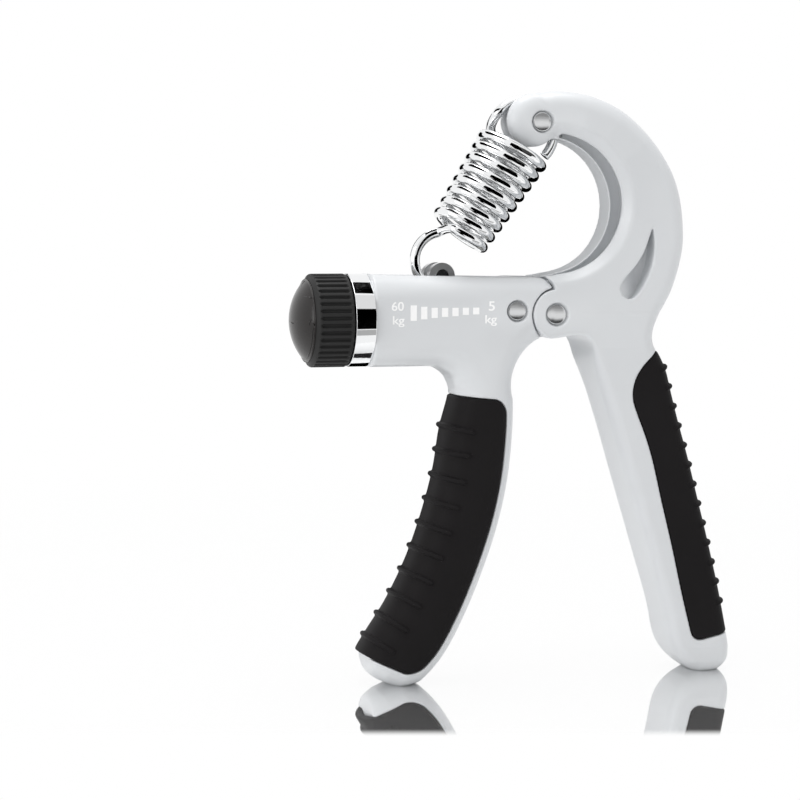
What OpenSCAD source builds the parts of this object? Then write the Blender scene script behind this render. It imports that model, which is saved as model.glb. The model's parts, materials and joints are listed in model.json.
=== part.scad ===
// Adjustable hand grip strengthener: a fixed handle with a barrel, a C-shaped lever,
// and an extension spring whose lower hook is moved along the barrel by a knob and a lead screw.
// Outlines are drawn in the XZ plane from the pivot axis; Y is the thickness.
// The finished part stands on the tips of its two handles.

/* [Barrel] */
// Height of the barrel
barrel_h = 23.2; // [22.6:0.1:25]
// Thickness of the barrel, the knuckle and the arm
body_t = 21; // [20:0.1:22.5]
// Distance from the pivot axis to the open end of the barrel
barrel_reach = 48.9; // [48.5:0.1:52]
// Drop of the barrel axis below the pivot axis
barrel_drop = 1.25; // [1:0.05:2]
// Corner radius of the barrel's section
barrel_corner_r = 6.5; // [4:0.1:9.5]
// Bore of the barrel
bore_d = 17.6; // [16.8:0.1:18]
// Width of the slot for the carriage lugs
slot_w = 10.2; // [9.6:0.1:11]

/* [Pivot] */
// Radius of the round knuckle
knuckle_r = 6.4; // [6:0.1:6.8]
// Gap between knuckle and barrel
seam_gap = 0.35; // [0.25:0.05:0.5]
// Diameter of the pivot pin
pivot_pin_d = 5.4; // [5:0.1:6]
// Thickness of the tongue between the fork cheeks
tongue_t = 9.1; // [8:0.1:10]
// Thickness of each pivot washer
washer_t = 0.5; // [0.4:0.05:0.7]
// Wall of the pivot bush
bush_wall = 1.3; // [1:0.1:1.5]
// Depth of a pin's end below the face around it
pin_inset = 0.3; // [0.1:0.05:0.6]

/* [Spring] */
// Wire diameter
wire_d = 2.6; // [2.3:0.1:2.7]
// Mean radius of the coil
coil_r = 7.9; // [7.6:0.1:8.3]
// Mean radius of the loop round the nose pin
loop_r = 8.4; // [8:0.1:8.6]
// Mean radius of the hook round the anchor pin
hook_r = 7.2; // [6.4:0.1:7.4]
// Pitch of the coil
coil_pitch = 3.26; // [3.16:0.02:3.4]
// Number of full turns
coil_turns = 8; // [6:1:8]
// Diameter of the pin in the nose
spring_pin_d = 5.2; // [4.6:0.1:5.6]
// Diameter of the anchor pin in the carriage
anchor_pin_d = 3.4; // [3:0.1:3.8]

/* [Carriage and screw] */
// Length of the carriage
carriage_len = 9; // [8:0.1:9.5]
// Diameter of the lead screw over its thread
screw_d = 7.6; // [7:0.1:8]
// Thickness of each carriage lug
lug_t = 2.4; // [2:0.1:2.6]
// Radius of the lugs' round tops
lug_r = 3.4; // [3.1:0.1:3.8]
// Diameter of the cross pin through barrel and bearing block
bearing_pin_d = 5; // [4.6:0.1:5.2]

/* [Knob] */
// Length of the knob's fluted band
knob_len = 9; // [8:0.1:11]
// Number of flutes
flute_n = 40; // [30:1:44]
// Width of a flute
flute_w = 0.9; // [0.7:0.05:1.2]
// Depth of a flute
flute_depth = 0.5; // [0.3:0.05:0.6]
// Diameter of the cap at its rim
cap_d = 21.4; // [20:0.1:22]
// Bevel between the cap's rim and the fluted band
knob_bevel = 1.25; // [1:0.05:1.6]
// Rise of the cap's dome
cap_rise = 3.4; // [2.4:0.1:4.4]
// Width of the chrome ring
ring_w = 4.6; // [4:0.1:7]

/* [Handles] */
// Thickness of the fixed handle over its grip
grip_t = 21; // [20:0.1:24]
// Thickness of the lever's handle
lever_grip_t = 18.4; // [17.5:0.1:20]
// Thickness of the rubber grips
rubber_t = 2; // [1.6:0.1:2.4]
// Width of the bare spine along the fixed handle
spine_w = 3.7; // [3:0.1:4.6]
// Height of a grip's ridges
ridge_h = 0.9; // [0.5:0.05:1.1]
// Width of a ridge at its foot
ridge_w = 2.2; // [1.6:0.1:2.6]
// Number of ridges on the fixed handle's grip
ridge_n = 10; // [6:1:10]
// Spacing of those ridges
ridge_pitch = 6.5; // [5.6:0.05:6.6]
// Distance of the first of them from the grip's top
ridge_first = 8.3; // [7:0.1:8.6]
// Number of ridges on the lever's grip
lever_ridge_n = 14; // [8:1:14]
// Spacing of those ridges
lever_ridge_pitch = 5.4; // [4.8:0.05:5.5]
// Distance of the first of them from the grip's top
lever_ridge_first = 3.4; // [3:0.1:4]

/* [Hidden] */

$fn = 64;
cut = 0.01;
over = 1;

// Colours
shell_colour = [0.84, 0.85, 0.86];
rubber_colour = [0.12, 0.12, 0.12];
chrome_colour = [0.8, 0.82, 0.84];
steel_colour = [0.68, 0.7, 0.72];
brass_colour = [0.78, 0.66, 0.36];
knob_colour = [0.2, 0.2, 0.21];
cap_colour = [0.1, 0.1, 0.11];
nylon_colour = [0.9, 0.9, 0.86];

// Clearances
press_fit = 0.01;
run_fit = 0.05;
face_gap = 0.05;
slide_gap = 0.2;
rubber_fit = 0.05;
spring_seat = 0.1;

// The floor under the tips of the handles, and the side of the block that cuts them flat there
floor_z = -95.6;
cutter = 200;

// Barrel: its axis, top, solid end and the two rounds at the seam with the lever
axis_z = -barrel_drop;
barrel_top = axis_z + barrel_h / 2;
bore_end_x = -7.8;
corner_x = -4.9;
corner_r = 3.6;
corner_z = barrel_top - corner_r;
lip_x = 3.2;
lip_z = -18.9;
lip_r = 13.65;
bearing_pin_x = -10.7;
bearing_pin_z = 1;
pin_rim = 0.35;
pin_rim_depth = 0.9;

// From the barrel's open end towards the left: ring and bush, thrust washer, knob, cap
ring_x = -barrel_reach;
bush_face_x = ring_x - ring_w;
bush_in = 2.8;
bush_d = 19;
journal_d = 6;
thrust_t = 0.3;
thrust_d = 17;
knob_x = bush_face_x - thrust_t - face_gap;
knob_d = cap_d + 2 * knob_bevel;
knob_left_x = knob_x - knob_len;
cap_x = knob_left_x - knob_bevel;
cap_tip_x = cap_x - cap_rise;
cap_lip = 0.9;
cap_ledge = 0.65;
knob_rim = 1.2;
plug_len = 1.8;
nut_h = 3.2;
nut_across = 10;
washer_d = 12.5;
knob_washer_t = 0.8;
screw_end = 0.6;
cap_room = 0.45;
// The knob's web is as thick as the washer, the nut and the screw's end leave it behind the cap
knob_web = knob_len + knob_bevel - plug_len - cap_room - screw_end - nut_h - knob_washer_t;

// Pins at rest: one in the nose of the arm, one in the carriage
nose_x = -2.6;
nose_z = 49.6;
nose_r = 6.8;
nose_t = 12.4;
nose_edge = 1.2;
anchor_x = -29.1;
anchor_drop = 0.35;
anchor_z = barrel_top - anchor_drop;

// Carriage and its travel either way from its place at rest
travel_left = 10.4;
travel_right = 6.6;
groove_w = wire_d + 0.8;
groove_floor = 3.6;
screw_left_x = ring_x + bush_in + face_gap;
block_d = bore_d - 0.2;
block_top = 4.4;
block_x = anchor_x + carriage_len / 2 + travel_right + 1;
end_journal_d = 5;
end_journal_len = 3.4;

// Knuckle: the fork's cheeks lie outside the tongue and its washers
fork_gap = tongue_t + 2 * washer_t + 2 * face_gap;
bush_out_d = pivot_pin_d + 2 * run_fit + 2 * bush_wall;
tongue_r = knuckle_r - 0.2;
washer_out_d = 11.6;

// Opening of the C-shaped arm: a rib round its middle, a step and a bevel beside it
arm_x = 0.9;
arm_z = 26.4;
arm_r = 16.7;
rib_t = 10.4;
step_x = 2.1;
step_z = 27.9;
step_r = 18;
step_t = 15.8;

// Foot of the part's own frame: midway between the cap and the lever's outermost ridge
lever_right_x = 49.3;
place_x = -(cap_tip_x + lever_right_x) / 2;

module place() {
    translate([place_x, 0, -floor_z]) children();
}

// ---------- Curves and lofts ----------

// Smooth curve through a list of vectors; whole numbers of u are the list's own entries
function smooth(list, u) =
    let (n = len(list) - 1, i = max(0, min(floor(u), n - 1)), t = u - i,
        a = list[max(i - 1, 0)], b = list[i], c = list[i + 1], d = list[min(i + 2, n)])
    0.5 * (2 * b + (c - a) * t + (2 * a - 5 * b + 4 * c - d) * t * t
        + (3 * b - a - 3 * c + d) * t * t * t);

function sgn_pow(v, e) = sign(v) * pow(abs(v), e);

// A station across a handle is [outer x, outer z, inner x, inner z, half thickness,
// squareness, width under the rubber]. w runs inwards from the outer edge, y is the thickness.
function width(s) = norm([s[2] - s[0], s[3] - s[1]]);
function at(s, w, y) =
    let (k = w / width(s)) [s[0] + (s[2] - s[0]) * k, y, s[1] + (s[3] - s[1]) * k];

// Point of a station's oval at an angle, 0 at the inner edge and 180 at the outer edge
function oval(s, angle, inset = 0) =
    let (a = (width(s) - inset) / 2, h = s[4] - inset, e = 2 / s[5])
    [inset + a + a * sgn_pow(cos(angle), e), h * sgn_pow(sin(angle), e)];
function oval_angle(s, w, inset = 0) =
    let (a = (width(s) - inset) / 2, v = max(-1, min(1, (w - inset - a) / a)))
    acos(sgn_pow(v, s[5] / 2));

// Ring of the moulding: bare part first, then the part that may lie under the rubber
function body_ring(s, inset, bare_n = 4, core_n = 6) =
    let (b = oval_angle(s, s[6]), c = oval_angle(s, s[6], inset),
        half = concat([for (j = [0:bare_n]) oval(s, b * j / bare_n)],
            [for (j = [(inset > 0 ? 0 : 1):core_n]) oval(s, c + (180 - c) * j / core_n, inset)]),
        mid = inset > 0 ? [] : [oval(s, b + (180 - b) / core_n / 2)],
        all = inset > 0 ? half : concat([for (j = [0:bare_n]) half[j]], mid,
            [for (j = [bare_n + 1:len(half) - 1]) half[j]]),
        n = len(all))
    concat([for (p = all) at(s, p[0], p[1])],
        [for (j = [n - 2:-1:1]) at(s, all[j][0], -all[j][1])]);

// Ring of the rubber: round the outside with its ridge, and back along the inside
function grip_ring(s, ridge, skin_n = 8) =
    let (w = s[6] - rubber_fit, inset = rubber_t - rubber_fit,
        b = oval_angle(s, w), c = oval_angle(s, w, inset),
        skin = [for (j = [0:skin_n])
            let (a = b + (180 - b) * j / skin_n, k = max(0, 1 - pow((180 - a) / 82, 4)))
            oval(s, a, -ridge * k)],
        core = [for (j = [0:skin_n]) oval(s, c + (180 - c) * j / skin_n, inset)])
    concat([for (p = skin) at(s, p[0], p[1])],
        [for (j = [skin_n - 1:-1:0]) at(s, skin[j][0], -skin[j][1])],
        [for (p = core) at(s, p[0], -p[1])],
        [for (j = [skin_n - 1:-1:0]) at(s, core[j][0], core[j][1])]);

// Faces that close the end of such a ring, from its first to its last point
function shell_end(start, m, turn) =
    [for (j = [0:m / 2 - 2], half = [0, 1])
        let (a = start + j, b = start + m - 1 - j,
            f = half == 0 ? [a, b - 1, a + 1] : [a, b, b - 1])
        turn ? [f[0], f[2], f[1]] : f];

// Solid through a list of rings that have the same number of points
module loft(rings, flip = false, shell = false) {
    m = len(rings[0]);
    last = len(rings) - 1;
    points = [for (r = rings, j = [0:m - 1]) r[flip ? m - 1 - j : j]];
    sides = [for (i = [0:last - 1], j = [0:m - 1], half = [0, 1])
        let (k = (j + 1) % m)
        half == 0 ? [i * m + j, i * m + k, (i + 1) * m + k]
            : [i * m + j, (i + 1) * m + k, (i + 1) * m + j]];
    ends = shell ? concat(shell_end(0, m, false), shell_end(last * m, m, true))
        : [[for (j = [m - 1:-1:0]) j], [for (j = [0:m - 1]) last * m + j]];
    polyhedron(points, concat(sides, ends), convexity = 8);
}

// Pairs [length along the outer edge, place in the list]
function edge_table(list, from, to, step = 0.1) =
    [for (u = from, d = 0; u <= to + cut;
        d = d + norm([smooth(list, u + step)[0] - smooth(list, u)[0],
            smooth(list, u + step)[1] - smooth(list, u)[1]]), u = u + step) [d, u]];
function turned_round(table) = [for (t = table) [t[1], t[0]]];

// A ridge takes four cuts across a grip: foot, top, top, foot
function ridge_cuts(table, first, n, pitch) =
    [for (k = [0:n - 1], e = [[-0.5, 0], [-0.2, 1], [0.2, 1], [0.5, 0]])
        [lookup(first + k * pitch + e[0] * ridge_w, table), e[1] * ridge_h]];

function in_order(list) = len(list) < 2 ? list :
    let (pivot = list[floor(len(list) / 2)][0])
    concat(in_order([for (v = list) if (v[0] < pivot) v]),
        [for (v = list) if (v[0] == pivot) v],
        in_order([for (v = list) if (v[0] > pivot) v]));

// Amount by which a rounded corner of radius r narrows a grip at a distance from its end
function end_round(d, r) = d >= r ? 0 : r - sqrt(max(0, r * r - (r - d) * (r - d)));

// Extrusion through the thickness, centred on the middle plane
module slab(t) {
    rotate([90, 0, 0])
        linear_extrude(t, center = true) children();
}

module across(x, z, d, t) {
    translate([x, 0, z])
        rotate([90, 0, 0]) cylinder(d = d, h = t, center = true);
}

// Round bar about the barrel's axis between two places
module along(x_from, x_to, d) {
    translate([x_from, 0, axis_z])
        rotate([0, 90, 0]) cylinder(d = d, h = x_to - x_from);
}

// Solid of revolution about the barrel's axis; the profile is [place along X, radius]
module turned(profile) {
    translate([0, 0, axis_z])
        rotate([0, 90, 0])
            rotate_extrude() polygon([for (p = profile) [p[1], p[0]]]);
}

// Pin across the body with shallow domed ends
module domed_pin(x, z, d, length) {
    dome = d / 12;
    half = length / 2 - dome;
    ball_r = (d * d / 4 + dome * dome) / (2 * dome);
    across(x, z, d, 2 * half);
    for (side = [-1, 1])
        intersection() {
            translate([x, side * (half + dome - ball_r), z]) sphere(ball_r);
            translate([x, side * half, z])
                rotate([90, 0, 0]) cylinder(d = d, h = 2 * dome, center = true);
        }
}

// Bore across the body for such a pin, with a shallow rim round each end
module pin_bore(x, z, d, t) {
    across(x, z, d, t + over);
    for (side = [-1, 1])
        translate([x, side * (t / 2), z])
            rotate([90, 0, 0]) cylinder(d = d + 2 * pin_rim, h = 2 * pin_rim_depth, center = true);
}

module foot_cut() {
    translate([-cutter / 2, -cutter / 2, floor_z - cutter]) cube(cutter);
}

// ---------- Fixed handle ----------

grip_h = grip_t / 2;
handle_list = [
    [-32.0, -11.6, -4.9, -7.2, body_t / 2, 4.5],
    [-28.8, -13.3, -7.1, -10.0, body_t / 2, 4.5],
    [-26.2, -15.1, -9.1, -13.1, body_t / 2, 4.2],
    [-25.0, -17.8, -9.8, -17.2, body_t / 2, 3.8],
    [-25.3, -20.9, -9.6, -22.4, grip_h, 3.2],
    [-27.8, -29.6, -9.8, -31.2, grip_h, 2.6],
    [-29.6, -40.4, -11.0, -42.6, grip_h, 2.5],
    [-32.6, -51.4, -13.6, -54.4, grip_h, 2.5],
    [-36.8, -63.0, -17.9, -67.0, grip_h, 2.5],
    [-42.2, -73.8, -23.2, -79.2, grip_h, 2.6],
    [-47.6, -82.0, -28.6, -88.6, grip_h, 2.8],
    [-50.6, -87.0, -34.2, -94.6, grip_h, 3],
    [-50.4, -89.6, -37.0, -95.8, grip_h - 0.8, 3],
    [-48.2, -92.4, -39.2, -96.4, grip_h - 2.4, 3],
    [-46.0, -94.2, -41.0, -96.4, grip_h - 4.6, 3]];
grip_top_u = 4;
grip_end_u = 11;
grip_corner_r = 3.6;
handle_table = edge_table(handle_list, grip_top_u, grip_end_u);
handle_back = turned_round(handle_table);
handle_edge = handle_table[len(handle_table) - 1][0];
handle_ends = [for (d = [0.1, 0.5, 1.2, 2.2, grip_corner_r]) each [d, handle_edge - d]];

function handle_station(u) =
    let (s = smooth(handle_list, u),
        d = lookup(max(grip_top_u, min(grip_end_u, u)), handle_back))
    concat(s, [width(s) - spine_w - end_round(min(d, handle_edge - d), grip_corner_r)]);

function handle_u(d) = lookup(d, handle_table);

handle_rings = concat(
    [for (u = [0:0.5:3.5]) [u, 0]],
    [[grip_top_u - 0.02, 0], [grip_top_u, rubber_t]],
    [for (d = [0.5, 1.2, 2.2, grip_corner_r]) [handle_u(d), rubber_t]],
    [for (u = [grip_top_u + 0.7:0.35:grip_end_u - 0.8]) [u, rubber_t]],
    [for (d = [grip_corner_r, 2.2, 1.2, 0.5]) [handle_u(handle_edge - d), rubber_t]],
    [[grip_end_u, rubber_t], [grip_end_u + 0.03, 0]],
    [for (u = [grip_end_u + 0.5:0.5:len(handle_list) - 1]) [u, 0]]);

module barrel_outline() {
    difference() {
        union() {
            translate([ring_x, axis_z - barrel_h / 2])
                square([corner_x - ring_x, barrel_h]);
            translate([corner_x - cut, axis_z - barrel_h / 2])
                square([corner_r + cut, corner_z - axis_z + barrel_h / 2]);
            translate([corner_x, corner_z]) circle(corner_r);
        }
        circle(knuckle_r + seam_gap);
    }
}

// Section of the barrel: a rectangle with large round corners
module barrel_section() {
    x = barrel_h / 2 - barrel_corner_r;
    y = body_t / 2 - barrel_corner_r;
    square([barrel_h, 2 * y], center = true);
    square([2 * x, body_t], center = true);
    for (a = [-1, 1], b = [-1, 1])
        translate([a * x, b * y]) circle(barrel_corner_r);
}

module tongue() {
    slab(tongue_t) {
        circle(tongue_r);
        translate([bore_end_x - 1, -tongue_r]) square([1 - bore_end_x, 2 * tongue_r]);
    }
}

// Slot on top of the barrel, wide enough for the lugs and long enough for their travel
slot_left_x = anchor_x - travel_left - lug_r - 2.6;
slot_right_x = anchor_x + travel_right + hook_r + wire_d / 2 + 3;

module handle_body() {
    color(shell_colour) difference() {
        union() {
            difference() {
                union() {
                    intersection() {
                        translate([ring_x, 0, axis_z])
                            rotate([0, 90, 0]) linear_extrude(-ring_x) barrel_section();
                        slab(body_t + over) barrel_outline();
                    }
                    loft([for (r = handle_rings) body_ring(handle_station(r[0]), r[1])]);
                }
                across(lip_x, lip_z, 2 * lip_r, body_t + over);
            }
            tongue();
        }
        along(ring_x - over, bore_end_x, bore_d);
        translate([slot_left_x, -slot_w / 2, axis_z])
            cube([slot_right_x - slot_left_x, slot_w, barrel_h]);
        across(0, 0, bush_out_d + 2 * press_fit, tongue_t + over);
        pin_bore(bearing_pin_x, bearing_pin_z, bearing_pin_d, body_t);
        foot_cut();
    }
}

module handle_grip() {
    cuts = in_order(concat([for (d = handle_ends) [handle_u(d), 0]],
        ridge_cuts(handle_table, ridge_first, ridge_n, ridge_pitch)));
    color(rubber_colour) loft([for (c = cuts) grip_ring(handle_station(c[0]), c[1])], shell = true);
}

// ---------- Lever ----------

// Outer edge of the arm from the nose to the grip, with a share of the full thickness
arm_points = [[-2.6, 56.4, 0], [2.2, 57.2, 0.16], [10.2, 56, 0.45], [18.4, 51.9, 0.72],
    [25.5, 45.2, 0.92], [31.2, 37.4, 1], [34.6, 29.5, 1], [36.4, 20.2, 1], [35.9, 13.6, 1],
    [33.7, 5.7, 1]];
arm_half = [for (p = arm_points) (nose_t + (body_t - nose_t) * p[2]) / 2];
lever_h = lever_grip_t / 2;
lever_list = concat(
    [for (i = [0:len(arm_points) - 1])
        let (p = arm_points[i], k = 13.6 / norm([p[0] - arm_x, p[1] - arm_z]))
        [p[0], p[1], arm_x + (p[0] - arm_x) * k, arm_z + (p[1] - arm_z) * k, arm_half[i], 8, 11]],
    [[30.1, -0.9, 9.0, 6.0, body_t / 2, 7, 10],
    [27.9, -6.2, 8.6, -3.4, body_t / 2, 6, 8],
    [27.4, -8.9, 9.9, -8.6, body_t / 2, 5, 5],
    [29.2, -11.6, 11.0, -12.2, (3 * body_t / 2 + lever_h) / 4, 4.4, 3.6],
    [31.4, -15.2, 12.4, -16.4, (body_t / 2 + 2 * lever_h) / 3, 4, 8.2],
    [33.1, -20.0, 14.1, -21.5, lever_h, 3.6, 11.2],
    [35.0, -27.5, 16.8, -29.8, lever_h, 3.6, 11.6],
    [38.0, -38.5, 20.3, -41.5, lever_h, 3.6, 10.6],
    [40.8, -49.5, 23.9, -53.3, lever_h, 3.6, 10.2],
    [43.5, -61.0, 27.6, -65.5, lever_h, 3.6, 10],
    [46.1, -73.0, 31.3, -77.8, lever_h, 3.6, 10],
    [48.1, -82.6, 33.1, -86.2, lever_h, 3.6, 9.6],
    [49.2, -88.8, 35.3, -90.8, lever_h, 3.4, 7.4],
    [49.0, -92.8, 38.2, -93.9, lever_h - 0.8, 3.2, 4],
    [47.0, -95.6, 41.4, -96.1, lever_h - 2.6, 3, 2.6]]);
lever_top_u = 13;
lever_end_u = 22;
lever_table = edge_table(lever_list, lever_top_u, lever_end_u);
lever_edge = lever_table[len(lever_table) - 1][0];
function lever_station(u) = smooth(lever_list, u);
function lever_u(d) = lookup(d, lever_table);

lever_rings = concat(
    [for (u = [0:0.5:lever_top_u - 0.5]) [u, 0]],
    [[lever_top_u - 0.04, 0]],
    [for (u = [lever_top_u:0.35:lever_end_u - 0.2]) [u, rubber_t]],
    [[lever_end_u, rubber_t], [lever_end_u + 0.04, 0]],
    [for (u = [lever_end_u + 0.5:0.5:len(lever_list) - 1]) [u, 0]]);

// Knuckle: a round end about the pivot, joined to the arm and to the handle
module knuckle_outline() {
    circle(knuckle_r);
    polygon([[0, 0.05 - knuckle_r], [8.4, 0.05 - knuckle_r], [13, -3], [17, 2], [17, 16],
        [3, 14], [-0.9, 10.4], [-1.6, 8.2], [-0.9, 6.3]]);
}

// Teardrop recess in the arm
teardrop = [[27.4, 22.1], [24.4, 16.8], [21.2, 12.1], [19, 8.2], [18.6, 5.6], [20.2, 4],
    [22.8, 4.8], [25.4, 8.4], [27.1, 13], [27.7, 17.6], [27.4, 22.1]];
teardrop_depth = 1.8;

module arm_opening() {
    across(arm_x, arm_z, 2 * arm_r, body_t + over);
    for (side = [-1, 1]) {
        translate([step_x, side * (rib_t + step_t) / 4, step_z])
            rotate([90, 0, 0])
                cylinder(r = step_r, h = (step_t - rib_t) / 2 + cut, center = true);
        translate([step_x, side * step_t / 2, step_z])
            rotate([-side * 90, 0, 0])
                cylinder(r1 = step_r, r2 = step_r + (body_t - step_t) / 2 + 0.5,
                    h = (body_t - step_t) / 2 + 0.5);
    }
}

module nose() {
    difference() {
        across(nose_x, nose_z, 2 * nose_r, nose_t);
        for (side = [-1, 1])
            translate([nose_x, side * nose_t / 2, nose_z])
                rotate([-side * 90, 0, 0]) difference() {
                    cylinder(r = nose_r + over, h = 2 * nose_edge + over, center = true);
                    translate([0, 0, -nose_edge - over])
                        cylinder(r1 = nose_r + over, r2 = nose_r - nose_edge, h = nose_edge + over + cut);
                }
    }
}

module lever_body() {
    loop_x = nose_x - loop_drop * axis_u[0];
    loop_z = nose_z - loop_drop * axis_u[1];
    color(shell_colour) difference() {
        union() {
            difference() {
                union() {
                    loft([for (r = lever_rings) body_ring(lever_station(r[0]), r[1])], true);
                    slab(body_t) knuckle_outline();
                }
                arm_opening();
                for (side = [-1, 1])
                    translate([0, side * body_t / 2, 0])
                        slab(2 * teardrop_depth)
                            polygon([for (u = [0:0.5:10 - cut]) smooth(teardrop, u)]);
            }
            nose();
        }
        across(0, 0, 2 * (knuckle_r + slide_gap), fork_gap);
        slab(fork_gap) translate([-cutter, -knuckle_r - over]) square([cutter, 2 * knuckle_r + over]);
        pin_bore(0, 0, pivot_pin_d + 2 * press_fit, body_t);
        pin_bore(nose_x, nose_z, spring_pin_d + 2 * press_fit, nose_t);
        across(loop_x, loop_z, 2 * (loop_r + wire_d / 2) + 1, groove_w);
        foot_cut();
    }
}

module lever_grip() {
    cuts = in_order(concat(
        [for (d = [0.1, 1.4, lever_edge - 1.4, lever_edge - 0.1]) [lever_u(d), 0]],
        ridge_cuts(lever_table, lever_ridge_first, lever_ridge_n, lever_ridge_pitch)));
    color(rubber_colour) loft([for (c = cuts) grip_ring(lever_station(c[0]), c[1])], true, true);
}

module pivot_pin() {
    color(steel_colour) domed_pin(0, 0, pivot_pin_d, body_t - 2 * pin_inset);
}

module pivot_bush() {
    color(brass_colour) difference() {
        across(0, 0, bush_out_d, tongue_t);
        across(0, 0, pivot_pin_d + 2 * run_fit, tongue_t + over);
    }
}

module pivot_washer(side) {
    color(nylon_colour) translate([0, side * (tongue_t + washer_t) / 2, 0])
        difference() {
            across(0, 0, washer_out_d, washer_t);
            across(0, 0, pivot_pin_d + 2 * run_fit, washer_t + over);
        }
}

module pivot_washer_front() {
    pivot_washer(-1);
}

module pivot_washer_back() {
    pivot_washer(1);
}

module spring_pin() {
    color(steel_colour) domed_pin(nose_x, nose_z, spring_pin_d, nose_t - 2 * pin_inset);
}

// ---------- Spring ----------

// s runs from the anchor pin to the nose pin, v is square to it in the middle plane
span = norm([nose_x - anchor_x, nose_z - anchor_z]);
axis_u = [nose_x - anchor_x, nose_z - anchor_z] / span;
function in_place(p) = [anchor_x + p[0] * axis_u[0] - p[1] * axis_u[1], p[2],
    anchor_z + p[0] * axis_u[1] + p[1] * axis_u[0]];

hook_lift = hook_r - (wire_d + anchor_pin_d) / 2 - spring_seat;
loop_drop = loop_r - (wire_d + spring_pin_d) / 2 - spring_seat;
loop_s = span - loop_drop;
coil_s = loop_s - 3.2 - (coil_turns + 1) * coil_pitch;
coil_from = 70;
coil_to = 360 * (coil_turns + 1) - 60;
hook_from = -150;
hook_to = 44;
loop_from = 15;
loop_to = 182;

function hook_point(c, r, a) = [c + r * sin(a), r * cos(a), 0];
function coil_point(a) = [coil_s + a / 360 * coil_pitch, coil_r * cos(a), -coil_r * sin(a)];
function turn_way(a) = [cos(a), -sin(a), 0];
function coil_way(a) =
    let (d = [coil_pitch / (2 * PI * coil_r), -sin(a), -cos(a)]) d / norm(d);
// Curve that leaves p along a and reaches q along b
function bend(p, a, q, b, n) =
    let (k = norm(q - p))
    [for (i = [1:n - 1]) let (t = i / n)
        (1 + 2 * t) * (1 - t) * (1 - t) * p + t * (1 - t) * (1 - t) * k * a
        + t * t * (3 - 2 * t) * q - t * t * (1 - t) * k * b];

// Centre line of the wire, with a number of points to a turn
function wire(n) =
    let (hook_n = ceil((hook_to - hook_from) / 360 * n * 1.4), bend_n = ceil(n / 2),
        coil_n = round((coil_to - coil_from) / 360 * n),
        loop_n = ceil((loop_to - loop_from) / 360 * n * 1.4))
    concat(
        [for (i = [0:hook_n])
            hook_point(hook_lift, hook_r, hook_from + (hook_to - hook_from) * i / hook_n)],
        bend(hook_point(hook_lift, hook_r, hook_to), turn_way(hook_to),
            coil_point(coil_from), coil_way(coil_from), bend_n),
        [for (i = [0:coil_n]) coil_point(coil_from + (coil_to - coil_from) * i / coil_n)],
        bend(coil_point(coil_to), coil_way(coil_to),
            hook_point(loop_s, loop_r, loop_from), turn_way(loop_from), bend_n),
        [for (i = [0:loop_n])
            hook_point(loop_s, loop_r, loop_from + (loop_to - loop_from) * i / loop_n)]);

// Least distance between parts of the wire that are more than half a turn apart
function least_gap(p, n) =
    min([for (i = [0:len(p) - 1], j = [i + round(n / 2):1:len(p) - 1]) norm(p[i] - p[j])]) - wire_d;

echo(str("Least gap between the turns of the spring: ", least_gap(wire(12), 12), " mm"));

function unit(v) = v / norm(v);
function way(p, i) = unit(p[min(i + 1, len(p) - 1)] - p[max(i - 1, 0)]);

// Normals carried along the wire without twist
function normals(p) =
    [for (i = 0, n = unit(cross(way(p, 0), [0, 1, 0])); i < len(p);
        i = i + 1, n = i < len(p) ? unit(n - (n * way(p, i)) * way(p, i)) : n) n];

module tube(p, r, sides) {
    n = normals(p);
    last = len(p) - 1;
    points = [for (i = [0:last], j = [0:sides - 1])
        let (a = 360 * j / sides) p[i] + r * (cos(a) * n[i] + sin(a) * cross(way(p, i), n[i]))];
    walls = [for (i = [0:last - 1], j = [0:sides - 1], half = [0, 1])
        let (k = (j + 1) % sides)
        half == 0 ? [i * sides + j, (i + 1) * sides + k, i * sides + k]
            : [i * sides + j, (i + 1) * sides + j, (i + 1) * sides + k]];
    ends = [for (j = [1:sides - 2]) each
        [[0, j, j + 1], [last * sides, last * sides + j + 1, last * sides + j]]];
    polyhedron(points, concat(walls, ends), convexity = 20);
}

module spring() {
    color(chrome_colour) tube([for (p = wire(8)) in_place(p)], wire_d / 2, 6);
}

// ---------- Barrel's inside ----------

module bearing_block() {
    color(nylon_colour) difference() {
        intersection() {
            along(block_x, bore_end_x - face_gap, block_d);
            translate([block_x - over, -bore_d, axis_z - bore_d])
                cube([bore_end_x - block_x + 2 * over, 2 * bore_d, bore_d + block_top - axis_z]);
        }
        along(block_x - over, block_x + end_journal_len + face_gap, end_journal_d + 2 * run_fit);
        across(bearing_pin_x, bearing_pin_z, bearing_pin_d + 2 * press_fit, body_t);
    }
}

module bearing_pin() {
    color(steel_colour)
        domed_pin(bearing_pin_x, bearing_pin_z, bearing_pin_d - 2 * press_fit, body_t - 2 * pin_inset);
}

module front_bush() {
    color(nylon_colour) difference() {
        union() {
            along(bush_face_x, ring_x, bush_d);
            along(ring_x - cut, ring_x + bush_in, bore_d - 2 * press_fit);
        }
        along(bush_face_x - over, ring_x + bush_in + over, journal_d + 2 * run_fit);
    }
}

module barrel_ring() {
    r = knob_d / 2 - 0.3;
    color(chrome_colour) turned([[bush_face_x, bush_d / 2 + press_fit], [ring_x, bush_d / 2 + press_fit],
        [ring_x, r - 0.3], [ring_x - 0.3, r], [bush_face_x + 0.3, r], [bush_face_x, r - 0.3]]);
}

screw_tip_x = knob_x - knob_web - knob_washer_t - nut_h - screw_end;

module lead_screw() {
    color(steel_colour) union() {
        along(screw_tip_x, screw_left_x + cut, journal_d);
        along(screw_left_x, block_x - face_gap, screw_d);
        along(block_x - face_gap - cut, block_x + end_journal_len, end_journal_d);
    }
}

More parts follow.
